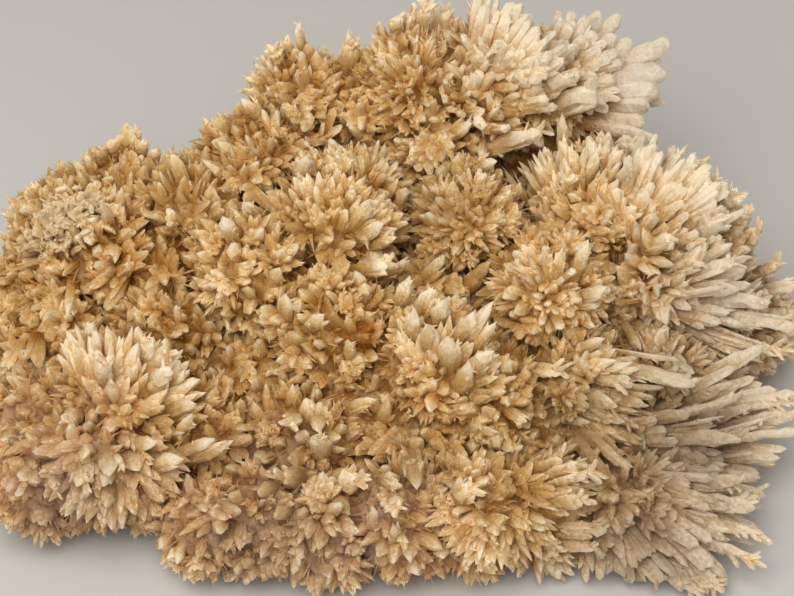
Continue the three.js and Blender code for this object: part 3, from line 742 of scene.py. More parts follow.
def crystal_surface(crystals, rings, sides, rng, first_growth=0.0):
    """Closed surfaces of a batch. Round a crystal the section is a lens: the cosine across and a
    power of the sine through. Along it the lens takes the half widths, closer together towards
    the tip, and the axis bends a little with the square of the way. Its grain is a place in
    the crystal's own width, length and thickness, far apart from the next crystal's."""
    count = len(crystals["root"])
    axis, side, thick, length = crystal_axes(crystals, rng)
    crowding = 1.3
    way = 1 - (1 - np.linspace(0.0, 1 - 0.5 / rings, rings)) ** crowding
    half, fall = half_widths(crystals, way, rng)
    angle = np.arange(sides) * 2 * math.pi / sides
    lens_power = 1.15
    across = np.cos(angle)
    through = np.sign(np.sin(angle)) * np.abs(np.sin(angle)) ** lens_power
    jitter = raggedness(crystals, way, across, rng)
    flat = FORM_TABLE[crystals["form"], -1][:, None] * rng.uniform(*FLAT_RANGE, (count, 1))
    wedge = 1 - TIP_THINNING * fall ** 2
    wide = half[:, :, None] * across * jitter
    deep = half[:, :, None] * (flat * wedge)[:, :, None] * through * jitter
    skew = rng.normal(0, SKEW_SPREAD, (count, 1)) * crystals["width"][:, None]
    bend = rng.normal(0, BEND_SPREAD, (count, 2)) * length[:, None]
    shift = way ** 2
    wide = wide + (bend[:, :1] * shift + skew * shift ** 3)[:, :, None]
    deep = deep + (bend[:, 1:] * shift)[:, :, None]

    reach = (length[:, None] * way)[:, :, None]
    ring_points = (crystals["root"][:, None, None] + axis[:, None, None] * reach[..., None]
                   + side[:, None, None] * wide[..., None] + thick[:, None, None] * deep[..., None])
    heel = 0.2 * crystals["width"][:, None]
    ends = np.stack((crystals["tip"] + side * (bend[:, :1] + skew) + thick * bend[:, 1:],
                     crystals["root"] - axis * heel), axis=1)
    points = np.concatenate((ring_points.reshape(count, rings * sides, 3), ends), axis=1)
    starts = np.arange(count) * (rings * sides + 2)
    triangles = (starts[:, None, None] + tube_triangles(rings, sides)).reshape(-1, 3)

    growth = np.broadcast_to(way[None, :, None], (count, rings, sides)).reshape(count, -1)
    growth = np.concatenate((growth, np.ones((count, 1)), np.zeros((count, 1))), axis=1)
    growth = first_growth + (1 - first_growth) * growth
    tone = np.clip(crystals["tone"] + rng.uniform(-TONE_SPREAD, TONE_SPREAD, count), 0, 1)
    far_apart = 90.0
    grain = np.concatenate((
        np.stack((wide, np.broadcast_to(reach, wide.shape), deep), axis=3).reshape(count, -1, 3),
        np.stack((bend[:, 0], length, bend[:, 1]), axis=1)[:, None],
        np.zeros((count, 1, 3))), axis=1)
    grain = grain + rng.uniform(0, far_apart, (count, 1, 3))
    # The edge mark is one at the sides of each section and nought mid-face: the material paints
    # light with it, paler along the thin edges.
    edge = np.concatenate((np.tile(np.abs(across), rings), (0.5, 0.5)))
    return points.reshape(-1, 3), triangles, {
        "growth": growth.reshape(-1), "tone": np.repeat(tone, rings * sides + 2),
        "grain": grain.reshape(-1, 3), "edge": np.tile(edge, count)}


def ball_surface(centre, radii, columns, rows, rng):
    """A ball studded with low points: a grid of turns and heights, shifted a little at random,
    where every other place is raised by a random share of the radius. It is closed by a pole at
    each end and flat where it would pass the ground."""
    turn = np.arange(columns) * 2 * math.pi / columns
    lift = math.pi * (np.arange(rows) + 1) / (rows + 1)
    ring = np.sin(lift)[:, None]
    ways = np.stack((ring * np.cos(turn), ring * np.sin(turn),
                     np.cos(lift)[:, None] + 0 * turn), axis=2).reshape(-1, 3)
    shift = 0.6 / rows
    ways = unit(ways + rng.normal(0, shift, ways.shape))
    ways = np.concatenate((ways, [[0, 0, 1], [0, 0, -1]]))
    raised = (np.arange(rows)[:, None] + np.arange(columns)) % 2
    raised = np.append(raised.ravel(), (0, 0))
    stud = raised * rng.uniform(*STUD_SHARES, len(ways))
    points = centre + ways * radii * (1 + stud)[:, None]
    points[:, 2] = np.maximum(points[:, 2], 0)
    here = np.arange(columns)
    after = (here + 1) % columns
    low = (np.arange(rows - 1) * columns)[:, None]
    band = np.stack((
        np.stack((low + here, low + columns + here, low + columns + after), axis=2),
        np.stack((low + here, low + columns + after, low + after), axis=2)), axis=2)
    last = (rows - 1) * columns
    north = np.full(columns, rows * columns)
    caps = np.concatenate((np.stack((here, after, north), axis=1),
                           np.stack((last + after, last + here, north + 1), axis=1)))
    triangles = np.concatenate((band.reshape(-1, 3), caps))
    count = len(points)
    return points, triangles, {"growth": raised * 0.7, "tone": rng.uniform(0.2, 0.8, count),
                               "grain": points.copy(), "edge": np.zeros(count)}


def stacked(surfaces):
    """Several surfaces as one: their points, triangles and attributes one after another."""
    starts = np.cumsum([0] + [len(points) for points, _, _ in surfaces[:-1]])
    points = np.concatenate([surface[0] for surface in surfaces])
    triangles = np.concatenate([surface[1] + start for surface, start in zip(surfaces, starts)])
    marks = {key: np.concatenate([surface[2][key] for surface in surfaces])
             for key in surfaces[0][2]}
    return points, triangles, marks


def stain(points, name):
    """How strongly one kind of stain or of painted shade shows at points: the strongest of its
    patches, each a bell curve of the distance on the sheet."""
    x, y = sheet_places(points)
    strength = np.zeros(len(points))
    for patch_x, patch_y, reach, amount in STAIN_AND_SHADE_PATCHES[name]:
        away = ((x - patch_x) ** 2 + (y - patch_y) ** 2) / reach ** 2
        strength = np.maximum(strength, amount * np.exp(-away))
    return strength


def make_piece(name, surface, sharp_degrees):
    """A mesh object in metres with its growth marks, its openness for the painted shade of the
    clefts and its patches of stain and painted shade, that rides on the specimen, cut off flat
    where it rests."""
    points, triangles, marks = surface
    points[:, 2] = np.maximum(points[:, 2], 0.0)
    marks = dict(marks)
    buried, free = OPENNESS_RANGE
    # Painted shade: the openness darkens the colour where a place lies buried among the rosette
    # balls.
    marks["exposure"] = np.clip((openness(points) - buried) / (free - buried), 0, 1)
    for patch_kind in STAIN_AND_SHADE_PATCHES:
        marks[patch_kind] = stain(points, patch_kind)
    mesh = bpy.data.meshes.new(name)
    mesh.vertices.add(len(points))
    mesh.vertices.foreach_set("co", (points * MM).astype(np.float32).ravel())
    mesh.loops.add(triangles.size)
    mesh.loops.foreach_set("vertex_index", triangles.astype(np.int32).ravel())
    mesh.polygons.add(len(triangles))
    mesh.polygons.foreach_set("loop_start", np.arange(0, triangles.size, 3, dtype=np.int32))
    mesh.update(calc_edges=True)
    for key, values in marks.items():
        if values.ndim == 2:
            layer = mesh.attributes.new(key, "FLOAT_VECTOR", "POINT")
            layer.data.foreach_set("vector", values.astype(np.float32).ravel())
        else:
            layer = mesh.attributes.new(key, "FLOAT", "POINT")
            layer.data.foreach_set("value", values.astype(np.float32))
    mesh.shade_smooth()
    mesh.set_sharp_from_angle(angle=math.radians(sharp_degrees))
    mesh.materials.append(bpy.data.materials[MATERIAL])
    piece = bpy.data.objects.new(name, mesh)
    bpy.context.scene.collection.objects.link(piece)
    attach(piece, BODY)
    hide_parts(NODE)
    return piece


def large_crystals():
    """The large single crystals, whose roots sink into the mass by their width."""
    rows = np.array([row[:6] for row in LARGE_CRYSTALS], float)
    root_x, root_y, tip_x, tip_y, rise, width = rows.T
    root_height = mass_height(root_x, root_y)
    tip_height = np.maximum(root_height, mass_height(tip_x, tip_y)) + rise
    root = face_points(root_x, root_y, root_height - width)
    tip = face_points(tip_x, tip_y, tip_height)
    tip[:, 2] = np.maximum(tip[:, 2], LOWEST_TIP)
    names = [row[6] for row in LARGE_CRYSTALS]
    form = [FORM_NAMES.index(name) for name in names]
    ragged = np.array([EDGE_RAGGEDNESS.get(name, PLAIN_RAGGEDNESS) for name in names])
    width = width * np.array([TRUE_WIDTHS.get(name, PLAIN_TRUE_WIDTH) for name in names])
    return rooted(batch(root, tip, OUTWARD, width, form, ragged))


def rooted(crystals):
    """The crystals with their roots drawn back along their axes until they lie in the mass;
    those that never reach it are left out."""
    axis = unit(crystals["tip"] - crystals["root"])
    tries, step, wanted_depth = 10, 1.5, 1.0
    for _ in range(tries):
        loose = gap_to_mass(crystals["root"]) > -wanted_depth
        crystals["root"] = crystals["root"] - axis * loose[:, None] * step
    return picked(crystals, gap_to_mass(crystals["root"]) < -HIDDEN_DEPTH)


def clear_of(crystals, large):
    """The crystals whose tips stand over the ground, outside the balls and the large ones."""
    tip, width = crystals["tip"], crystals["width"]
    least_height = 0.8
    clear = (tip[:, 2] > LOWEST_TIP) & (gap_to_balls(tip) > least_height)
    return picked(crystals, clear & (gap_to_axes(tip, large) > width * 0.1))


def habit_of(order):
    """The habit and the lean of a rosette ball."""
    if order < len(FACE_ROSETTES):
        lean_across, lean_up, habit = FACE_ROSETTES[order][4:7]
        return habit, LEAN_SHARE * (lean_across * ACROSS + lean_up * UPWARD)
    return "behind", np.zeros(3)


def bunch(place, facing, reach, sunk, spread, count, rng):
    """Crystals that part from one root under a place, a golden angle from one to the next round
    an axis: their tilt grows with the root of their number, and the outer ones are shorter."""
    start = place - facing * reach * sunk
    beside = UPWARD + 0.1 * ACROSS
    side = unit(np.cross(facing, beside))
    other = np.cross(facing, side)
    step = np.arange(count) + 0.5
    tilt = math.radians(spread) * np.sqrt(step / count)
    turn = GOLDEN_ANGLE * step + rng.uniform(0, 2 * math.pi)
    ways = (np.cos(tilt)[:, None] * facing + np.sin(tilt)[:, None] * (
        np.cos(turn)[:, None] * side + np.sin(turn)[:, None] * other))
    ways = unit(ways + rng.normal(0, 0.13, (count, 3)))
    shortening = 0.12
    lengths = reach * rng.uniform(0.72, 1.12, count) * (1 - shortening * (step / count))
    tip = start + ways * lengths[:, None]
    root = start + ways * (lengths * 0.12)[:, None]
    return batch(root, tip, facing, 1.0, LEAF, SPRAY_RAGGEDNESS, rng.uniform(0.25, 0.75))


def spray_place(order):
    """The place of a spray on the mass and its axis."""
    x, y, across, up, out = SPRAYS[order][:5]
    facing = unit(across * ACROSS + up * UPWARD + out * OUTWARD)
    place = np.array([[float(x)], [float(y)]])
    return face_points(place[0], place[1], mass_height(place[0], place[1]))[0], facing


def spray_crystals(order, rng):
    """The crystals of one spray."""
    reach, spread, count, width, form, _ = SPRAYS[order][5:]
    place, facing = spray_place(order)
    crystals = bunch(place, facing, reach, SPRAY_SUNK, spread, int(count * SPRAY_FULLNESS), rng)
    crystals["width"] = 0.9 * width * rng.uniform(0.55, 1.1, len(crystals["root"]))
    crystals["form"][:] = FORM_NAMES.index(form)
    return crystals


def star_sites(rng):
    """Where the stars stand: places evenly over every ball and over the base that lie outside
    the other balls, taken in turn when they keep their distance from the sprays and from those
    before. Gives the places, the ways out of the mass there and the ball each belongs to."""
    taken = [spray_place(order)[0] for order in range(len(SPRAYS))]
    clearances = [SPRAY_CLEARANCE * row[5] for row in SPRAYS]
    outwards, owners = [], []
    for order in range(len(RADII) + 1):
        on_ball = order < len(RADII)
        centre = CENTRES[order] if on_ball else BASE_CENTRE
        radii = np.full(3, RADII[order]) if on_ball else BASE_RADII
        spacing = HABITS[habit_of(order)[0]][0] if on_ball else BASE_STAR_SPACING
        count = int(16 * math.pi * radii[0] * radii[1] / spacing ** 2)
        scatter = 0.3 * spacing / radii[0]
        ways = unit(spread_directions(count) + rng.normal(0, scatter, (count, 3)))
        places = centre + ways * radii
        normals = unit(ways / radii)
        clear = gap_to_balls(places, skip=order if on_ball else None) > -HIDDEN_DEPTH
        clear &= places[:, 2] > LOWEST_STAR
        for row in rng.permutation(np.flatnonzero(clear)):
            apart = np.maximum(clearances, spacing * rng.uniform(*STAR_CLOSENESS))
            if (np.linalg.norm(np.array(taken) - places[row], axis=1) > apart).all():
                taken.append(places[row])
                clearances.append(0.0)
                outwards.append(normals[row])
                nearest = np.argmin(np.linalg.norm(CENTRES - places[row], axis=1) - RADII)
                owners.append(order if on_ball else nearest)
    return np.array(taken[len(SPRAYS):]), np.array(outwards), np.array(owners)


def star_crystals(place, outwards, order, rng):
    """The crystals of one star on a ball, its kind drawn from the rosette's habit."""
    habit, lean = habit_of(order)
    kinds = HABITS[habit][1]
    kind = rng.choice(list(kinds), p=list(kinds.values()))
    count, reaches, widths, spread, shares, ragged = STAR_KINDS[kind]
    facing = unit(outwards + lean + rng.normal(0, 0.22, 3))
    size = rng.uniform(*STAR_SIZES)
    crystals = bunch(place, facing, rng.uniform(*reaches) * size, STAR_SUNK, spread,
                     int(count * rng.uniform(0.8, 1.2)), rng)
    number = len(crystals["root"])
    crystals["width"] = rng.uniform(*widths) * size * rng.uniform(*STAR_WIDTH_SHARES, number)
    names = list(shares)
    crystals["form"] = rng.choice([FORM_NAMES.index(name) for name in names], number,
                                  p=[shares[name] for name in names])
    crystals["ragged"][:] = ragged
    return crystals


def fan_crystals(order, rng):
    """The crystals of one fan. Their bearings run over the fan several times, while the way to
    the tip grows with the root of the crystal's number. The tip is on the mass and the root back
    along the same bearing, a little under it."""
    x, y, first, last, near, far, count, shown, width, form, _ = FANS[order]
    step = (np.arange(count) + 0.5) / count
    turns = 7.0
    bearing = np.radians(first + (last - first) * ((step * turns) % 1))
    bearing = bearing + rng.normal(0, 0.05, count)
    way = near + (far - near) * np.sqrt(step) * rng.uniform(0.8, 1.0, count)
    tip_x, tip_y = x + way * np.cos(bearing), y + way * np.sin(bearing)
    back = way * (1 - shown * rng.uniform(0.7, 1.1, count))
    root_x, root_y = x + back * np.cos(bearing), y + back * np.sin(bearing)
    widths = width * rng.uniform(0.65, 1.15, count)
    root_height = mass_height(root_x, root_y) - rng.uniform(1.0, 3.0, count)
    tip_height = np.maximum(mass_height(tip_x, tip_y), root_height) + rng.uniform(0.5, 5.0, count)
    root = face_points(root_x, root_y, root_height)
    tip = face_points(tip_x, tip_y, tip_height)
    return batch(root, tip, OUTWARD, widths, FORM_NAMES.index(form), COVER_RAGGEDNESS)


def cover_crystals(order, rng):
    """The short, plump crystals that cover a ball between its stars, their tips evenly over it
    and their axes leaning its way."""
    habit, lean = habit_of(order)
    spacing = COVER_SPACING if order < len(FACE_ROSETTES) else COVER_SPACING_BEHIND
    radius = RADII[order]
    count = int(4 * math.pi * radius ** 2 / spacing ** 2)
    ways = unit(spread_directions(count) + rng.normal(0, 0.4 * spacing / radius, (count, 3)))
    rise = rng.uniform(0.8, 4.5, count)
    sunk = 4.0
    tip = CENTRES[order] + ways * (radius + rise)[:, None]
    swing = rng.normal(0, 0.25, (count, 3)) + lean * 0.8
    root = tip - unit(ways + swing) * (rise + sunk)[:, None]
    form = BLADE if habit == "fanned" else LEAF
    width = rng.uniform(2.2, 4.6, count)
    return batch(root, tip, ways, width, form, COVER_RAGGEDNESS, rng.uniform(0.3, 0.7, count))


def fine_crystals(order, rng):
    """The small crystals between the others: short, slender points evenly over one ball."""
    radius = RADII[order]
    spacing = FINE_SPACING if order < len(FACE_ROSETTES) else FINE_SPACING_BEHIND
    count = int(4 * math.pi * (radius + 1) ** 2 / spacing ** 2)
    ways = unit(spread_directions(count) + rng.normal(0, 0.5 * spacing / radius, (count, 3)))
    tip = CENTRES[order] + ways * (radius + rng.uniform(-0.5, 4.0, count))[:, None]
    root_depth = 0.72
    root = CENTRES[order] + (ways + rng.normal(0, 0.14, (count, 3))) * radius * root_depth
    crystals = batch(root, tip, ways, rng.uniform(1.4, 2.8, count),
                     rng.choice([LEAF, SPIKE, KNOB], count), FINE_RAGGEDNESS)
    least_height = 0.6
    clear = (gap_to_balls(tip, skip=order) > -HIDDEN_DEPTH) & (tip[:, 2] > least_height)
    return picked(crystals, clear)


def valley_crystals(region, large, rng):
    """Crystals in the valleys between the rosettes of the face, which point outwards and away
    from the nearest rosette's centre. They stand on a shaken grid where the filled valleys rise
    over the balls."""
    step = 13.0
    far_x, far_y = 800.0, 600.0
    x, y = np.meshgrid(np.arange(0, far_x, step), np.arange(0, far_y, step))
    x = x.ravel() + rng.uniform(-step / 2, step / 2, x.size)
    y = y.ravel() + rng.uniform(-step / 2, step / 2, y.size)
    away = np.hypot(x[:, None] - FACE[:, 0], y[:, None] - FACE[:, 1]) * SHEET_SQUARE
    beside = away - FACE[:, 3]
    nearest = beside.argmin(axis=1)
    low, high = mass_height(x, y), smooth_height(x, y)
    least_fill, farthest = 0.7, 3.0
    wanted = (high - low > least_fill) & (beside.min(axis=1) < farthest)
    wanted &= np.array([FACE_ROSETTES[one][7] == region for one in nearest])
    x, y, high, nearest = x[wanted], y[wanted], high[wanted], nearest[wanted]
    count = len(x)
    inplane = np.stack((x - FACE[nearest, 0], FACE[nearest, 1] - y), axis=1)
    inplane = unit(inplane) * 0.8 + FACE[nearest, 4:6] * 0.5 + rng.normal(0, 0.25, (count, 2))
    axis = unit(inplane[:, :1] * ACROSS + inplane[:, 1:] * UPWARD + OUTWARD)
    tip = face_points(x, y, high + rng.uniform(1.0, 4.5, count))
    root = tip - axis * rng.uniform(9.0, 13.0, (count, 1))
    width = rng.uniform(2.8, 4.8, count)
    forms = rng.choice([LEAF, LEAF, BLADE, KNOB], count)
    crystals = batch(root, tip, OUTWARD, width, forms, VALLEY_RAGGEDNESS)
    clear = (gap_to_axes(tip, large) > width * 0.2) & (tip[:, 2] > LOWEST_TIP)
    return picked(crystals, clear)


def base_crystals(spacing, widths, rises, rng):
    """Crystals on the low base where no rosette covers it: along its normals, which are the
    places over the squared radii."""
    base_area = 26000.0
    count = int(base_area / spacing ** 2)
    ways = spread_directions(count)
    place = BASE_CENTRE + ways * BASE_RADII
    normal = unit(ways / BASE_RADII + rng.normal(0, 0.004, (count, 3)))
    tip = place + normal * rng.uniform(*rises, (count, 1))
    sunk = 5.0
    root = place - normal * sunk
    width = rng.uniform(*widths, count)
    forms = rng.choice([LEAF, LEAF, KNOB], count)
    crystals = batch(root, tip, normal, width, forms, VALLEY_RAGGEDNESS)
    steepest = -0.75
    clear = (gap_to_balls(tip) > HIDDEN_DEPTH) & (tip[:, 2] > LOWEST_TIP)
    return picked(crystals, clear & (normal[:, 2] > steepest))


def druse_crystals(rng):
    """The crust of small glassy plates on the shoulder of the upper left dome: scattered by
    bell curves about the places of the glass, each plate at a random slant."""
    plates_per_square = 0.22
    parts = []
    for x, y, reach, _ in STAIN_AND_SHADE_PATCHES["glass"][:DRUSE_PATCHES]:
        count = int(reach ** 2 * plates_per_square)
        sheet_x = x + rng.normal(0, reach * 0.5, count)
        sheet_y = y + rng.normal(0, reach * 0.4, count)
        height = mass_height(sheet_x, sheet_y)
        root = face_points(sheet_x, sheet_y, height - 1.0)
        slant = rng.normal(0, 0.9, (count, 3)) + OUTWARD * 1.1
        tip = root + unit(slant) * rng.uniform(3.0, 6.5, (count, 1))
        parts.append(batch(root, tip, rng.normal(0, 1, (count, 3)), rng.uniform(1.6, 4.2, count),
                           SLAB, 0.12))
    return joined(parts)


def companions(crystals, number, swings, widths, lengths, rng):
    """Smaller crystals grown along the others, a number to each: they start beside their
    parent's root and part from it by a small swing to one side."""
    count = len(crystals["root"])
    chosen = picked(crystals, np.repeat(np.arange(count), rng.poisson(number, count)))
    along = chosen["tip"] - chosen["root"]
    length = np.linalg.norm(along, axis=1)[:, None]
    side = unit(np.cross(along, chosen["facing"]) + TINY)
    way = np.where(rng.uniform(0, 1, (len(along), 1)) < 0.5, -1.0, 1.0)
    count = len(along)
    offset = side * way * rng.uniform(0.0, 0.3, (count, 1)) + rng.normal(0, 0.1, (count, 3))
    chosen["root"] = chosen["root"] + offset * chosen["width"][:, None]
    swing = side * way * rng.uniform(*swings, (count, 1))
    swing = swing + rng.normal(0, swings[1] / 4, (count, 3))
    chosen["tip"] = chosen["root"] + unit(along / length + swing) * length * rng.uniform(
        *lengths, (count, 1))
    chosen["width"] = chosen["width"] * rng.uniform(*widths, count)
    keep = chosen["tip"][:, 2] > LOWEST_TIP
    return picked(chosen, keep)


def grains(crystals, number, places, reaches, widths, rng):
    """Small points on the flanks of the others, a number to each: they start on a flank, at
    places between two shares of the length, and point outwards and forwards."""
    count = len(crystals["root"])
    parents = picked(crystals, np.repeat(np.arange(count), rng.poisson(number, count)))
    count = len(parents["root"])
    along = parents["tip"] - parents["root"]
    axis = unit(along)
    side = unit(np.cross(axis, parents["facing"]) + TINY)
    thick = np.cross(axis, side)
    turn = rng.uniform(0, 2 * math.pi, (count, 1))
    flatness = 0.7
    outwards = side * np.cos(turn) + thick * np.sin(turn) * flatness
    start = parents["root"] + along * rng.uniform(*places, (count, 1))
    way = unit(axis * 0.8 + outwards * rng.uniform(0.4, 1.0, (count, 1)))
    reach = parents["width"] * 0.4 + rng.uniform(*reaches, count)
    tip = start + way * reach[:, None]
    small = batch(start, tip, outwards, rng.uniform(*widths, count), LEAF, FINE_RAGGEDNESS,
                  parents["tone"])
    turned_away = -0.4
    return picked(small, (tip[:, 2] > LOWEST_TIP) & (outwards @ OUTWARD > turned_away))


def region_of(order):
    """The region that a rosette ball belongs to."""
    return FACE_ROSETTES[order][7] if order < len(FACE_ROSETTES) else BACK_REGION


def middling_crystals(region, orders, stars, large, rng):
    """The crystals of middle size of a region: its stars, sprays, fans, covers and valleys, as
    far as they stand clear of the large crystals and of one another."""
    parts = [star_crystals(place, way, owner, rng)
             for place, way, owner in zip(*stars) if owner in orders]
    parts += [spray_crystals(order, rng) for order, row in enumerate(SPRAYS) if row[-1] == region]
    parts += [fan_crystals(order, rng) for order, row in enumerate(FANS) if row[-1] == region]
    parts += [cover_crystals(order, rng) for order in orders]
    if region != BACK_REGION:
        parts.append(valley_crystals(region, large, rng))
    parts = [rooted(joined(parts))]
    if region == BACK_REGION:
        parts.append(base_crystals(spacing=5.0, widths=(3.0, 5.2), rises=(2.5, 7.5), rng=rng))
    if region == DRUSE_REGION:
        parts.append(druse_crystals(rng))
    crystals = clear_of(joined(parts), large)
    return picked(crystals, standing_out(crystals["tip"], crystals, 0.1, own=True))


def region_surface(region, stars, large, rng):
    """All the crystals of a region as one surface: those of middle size, companions beside
    them, fine crystals between them and grains on their flanks."""
    orders = [order for order in range(len(RADII)) if region_of(order) == region]
    middling = middling_crystals(region, orders, stars, large, rng)
    beside = companions(middling, number=0.6, swings=(0.05, 0.22), widths=(0.5, 0.8),
                        lengths=(0.75, 0.98), rng=rng)
    beside = picked(beside, standing_out(beside["tip"], middling, 0.0))
    fine = [fine_crystals(order, rng) for order in orders]
    if region == BACK_REGION:
        fine.append(base_crystals(spacing=3.6, widths=(1.0, 2.2), rises=(1.0, 4.0), rng=rng))
    fine = joined(fine)
    fine = picked(fine, standing_out(fine["tip"], middling, 0.1))
    share = GRAIN_SHARES.get(region, PLAIN_GRAIN_SHARE)
    tiny = grains(middling, number=share, places=FLANK, reaches=GRAIN_REACHES,
                  widths=GRAIN_WIDTHS, rng=rng)
    return stacked([
        crystal_surface(middling, *MIDDLING_GRID, rng),
        crystal_surface(beside, *BESIDE_GRID, rng),
        crystal_surface(fine, *FINE_GRID, rng),
        crystal_surface(tiny, *FINE_GRID, rng, first_growth=0.7)])


class Wire:
    """A value in a material's node tree. Arithmetic on it adds Math nodes."""

    def __init__(self, shade, socket):
        self.shade = shade
        self.socket = socket

    def maths(self, operation, *values):
        """The outcome of a Math node's operation on values in its order."""
        return self.shade.node("ShaderNodeMath", {"operation": operation},
                               dict(enumerate(values)))

    def __add__(self, other):
        return self.maths("ADD", self, other)

    __radd__ = __add__

    def __sub__(self, other):
        return self.maths("SUBTRACT", self, other)

    def __rsub__(self, other):
        return self.maths("SUBTRACT", other, self)

    def __mul__(self, other):
        return self.maths("MULTIPLY", self, other)

    __rmul__ = __mul__

    def clamped(self):
        """The value held between 0 and 1."""
        return self.shade.node("ShaderNodeClamp", {}, {"Value": self})

    def steps(self, low, high):
        """A smooth rise from 0 at the low value to 1 at the high one."""
        return self.shade.node("ShaderNodeMapRange", {"interpolation_type": "SMOOTHSTEP"},
                               {"Value": self, "From Min": low, "From Max": high})


class Shade:
    """One material and the means to add nodes to it."""

    def __init__(self, name):
        self.material = bpy.data.materials.new(name)
        self.material.use_nodes = True
        self.tree = self.material.node_tree
        self.tree.nodes.clear()

    def node(self, kind, settings, values, output=0):
        """Adds a node of any kind: its settings first, then the values or links of its sockets.
        Gives the output of a name or number, or a list of them where several are named."""
        node = self.tree.nodes.new(kind)
        for key, value in settings.items():
            if key == "stops":
                self.set_stops(node.color_ramp, value)
            else:
                setattr(node, key, value)
        for key, value in values.items():
            self.feed(node.inputs[key], value)
        if isinstance(output, tuple):
            return [Wire(self, node.outputs[one]) for one in output]
        return Wire(self, node.outputs[output])

    def set_stops(self, ramp, stops):
        """Gives a colour ramp its places and colours."""
        while len(ramp.elements) < len(stops):
            ramp.elements.new(0.5)
        for element, (place, colour) in zip(ramp.elements, stops):
            element.position = place
            element.color = (*colour, 1)

    def feed(self, socket, value):
        """Links a value to a socket, or sets the socket to a plain one."""
        if isinstance(value, Wire):
            self.tree.links.new(value.socket, socket)
        else:
            socket.default_value = value

    def mark(self, name):
        """A number that the mesh carries at its points."""
        return self.node("ShaderNodeAttribute", {"attribute_name": name}, {}, "Fac")

    def vector_mark(self, name):
        """A vector that the mesh carries at its points."""
        return self.node("ShaderNodeAttribute", {"attribute_name": name}, {}, "Vector")

    def place(self):
        """The place in the object's own metres."""
        return self.node("ShaderNodeTexCoord", {}, {}, "Object")

    def noise(self, vector, scale, detail=2.0, rough=0.5):
        """A cloudy value between 0 and 1."""
        return self.node("ShaderNodeTexNoise", {}, {
            "Vector": vector, "Scale": scale, "Detail": detail, "Roughness": rough}, "Fac")

    def facets(self, vector, scale):
        """Small flat facets across the first two axes, one round each of many scattered points:
        a random value for each facet, and a height that slopes a random way over it."""
        chance, middle = self.node("ShaderNodeTexVoronoi", {"voronoi_dimensions": "2D"}, {
            "Vector": vector, "Scale": scale}, ("Color", "Position"))
        slope = self.node("ShaderNodeVectorMath", {"operation": "MULTIPLY_ADD"}, {
            0: chance, 1: (1.0, 1.0, 0.0), 2: (-0.5, -0.5, 0.0)})
        offset = self.node("ShaderNodeVectorMath", {"operation": "SUBTRACT"}, {
            0: vector, 1: middle})
        height = self.node("ShaderNodeVectorMath", {"operation": "DOT_PRODUCT"}, {
            0: offset, 1: slope}, "Value")
        return chance, height

    def mixed(self, first, second, share):
        """The first colour with a share of the second. The node's sockets are numbered,
        because their names repeat."""
        return self.node("ShaderNodeMix", {"data_type": "RGBA"}, {
            0: share, 6: first, 7: second}, 2)

    def stretched(self, vector, scale):
        """A vector times a scale for each axis."""
        return self.node("ShaderNodeVectorMath", {"operation": "MULTIPLY"}, {
            0: vector, 1: scale})

    def finish(self, settings, varying):
        """Closes the material with a shader: the values that are the same all over are set on
        its sockets, and those that vary are linked."""
        bsdf = self.tree.nodes.new("ShaderNodeBsdfPrincipled")
        bsdf.subsurface_method = "BURLEY"
        for key, value in settings.items():
            bsdf.inputs[key].default_value = value
        for key, value in varying.items():
            self.feed(bsdf.inputs[key], value)
        output = self.tree.nodes.new("ShaderNodeOutputMaterial")
        self.tree.links.new(bsdf.outputs[0], output.inputs["Surface"])
        return self.material


def rgba(colour):
    """A colour with full alpha."""
    return (*colour, 1.0)


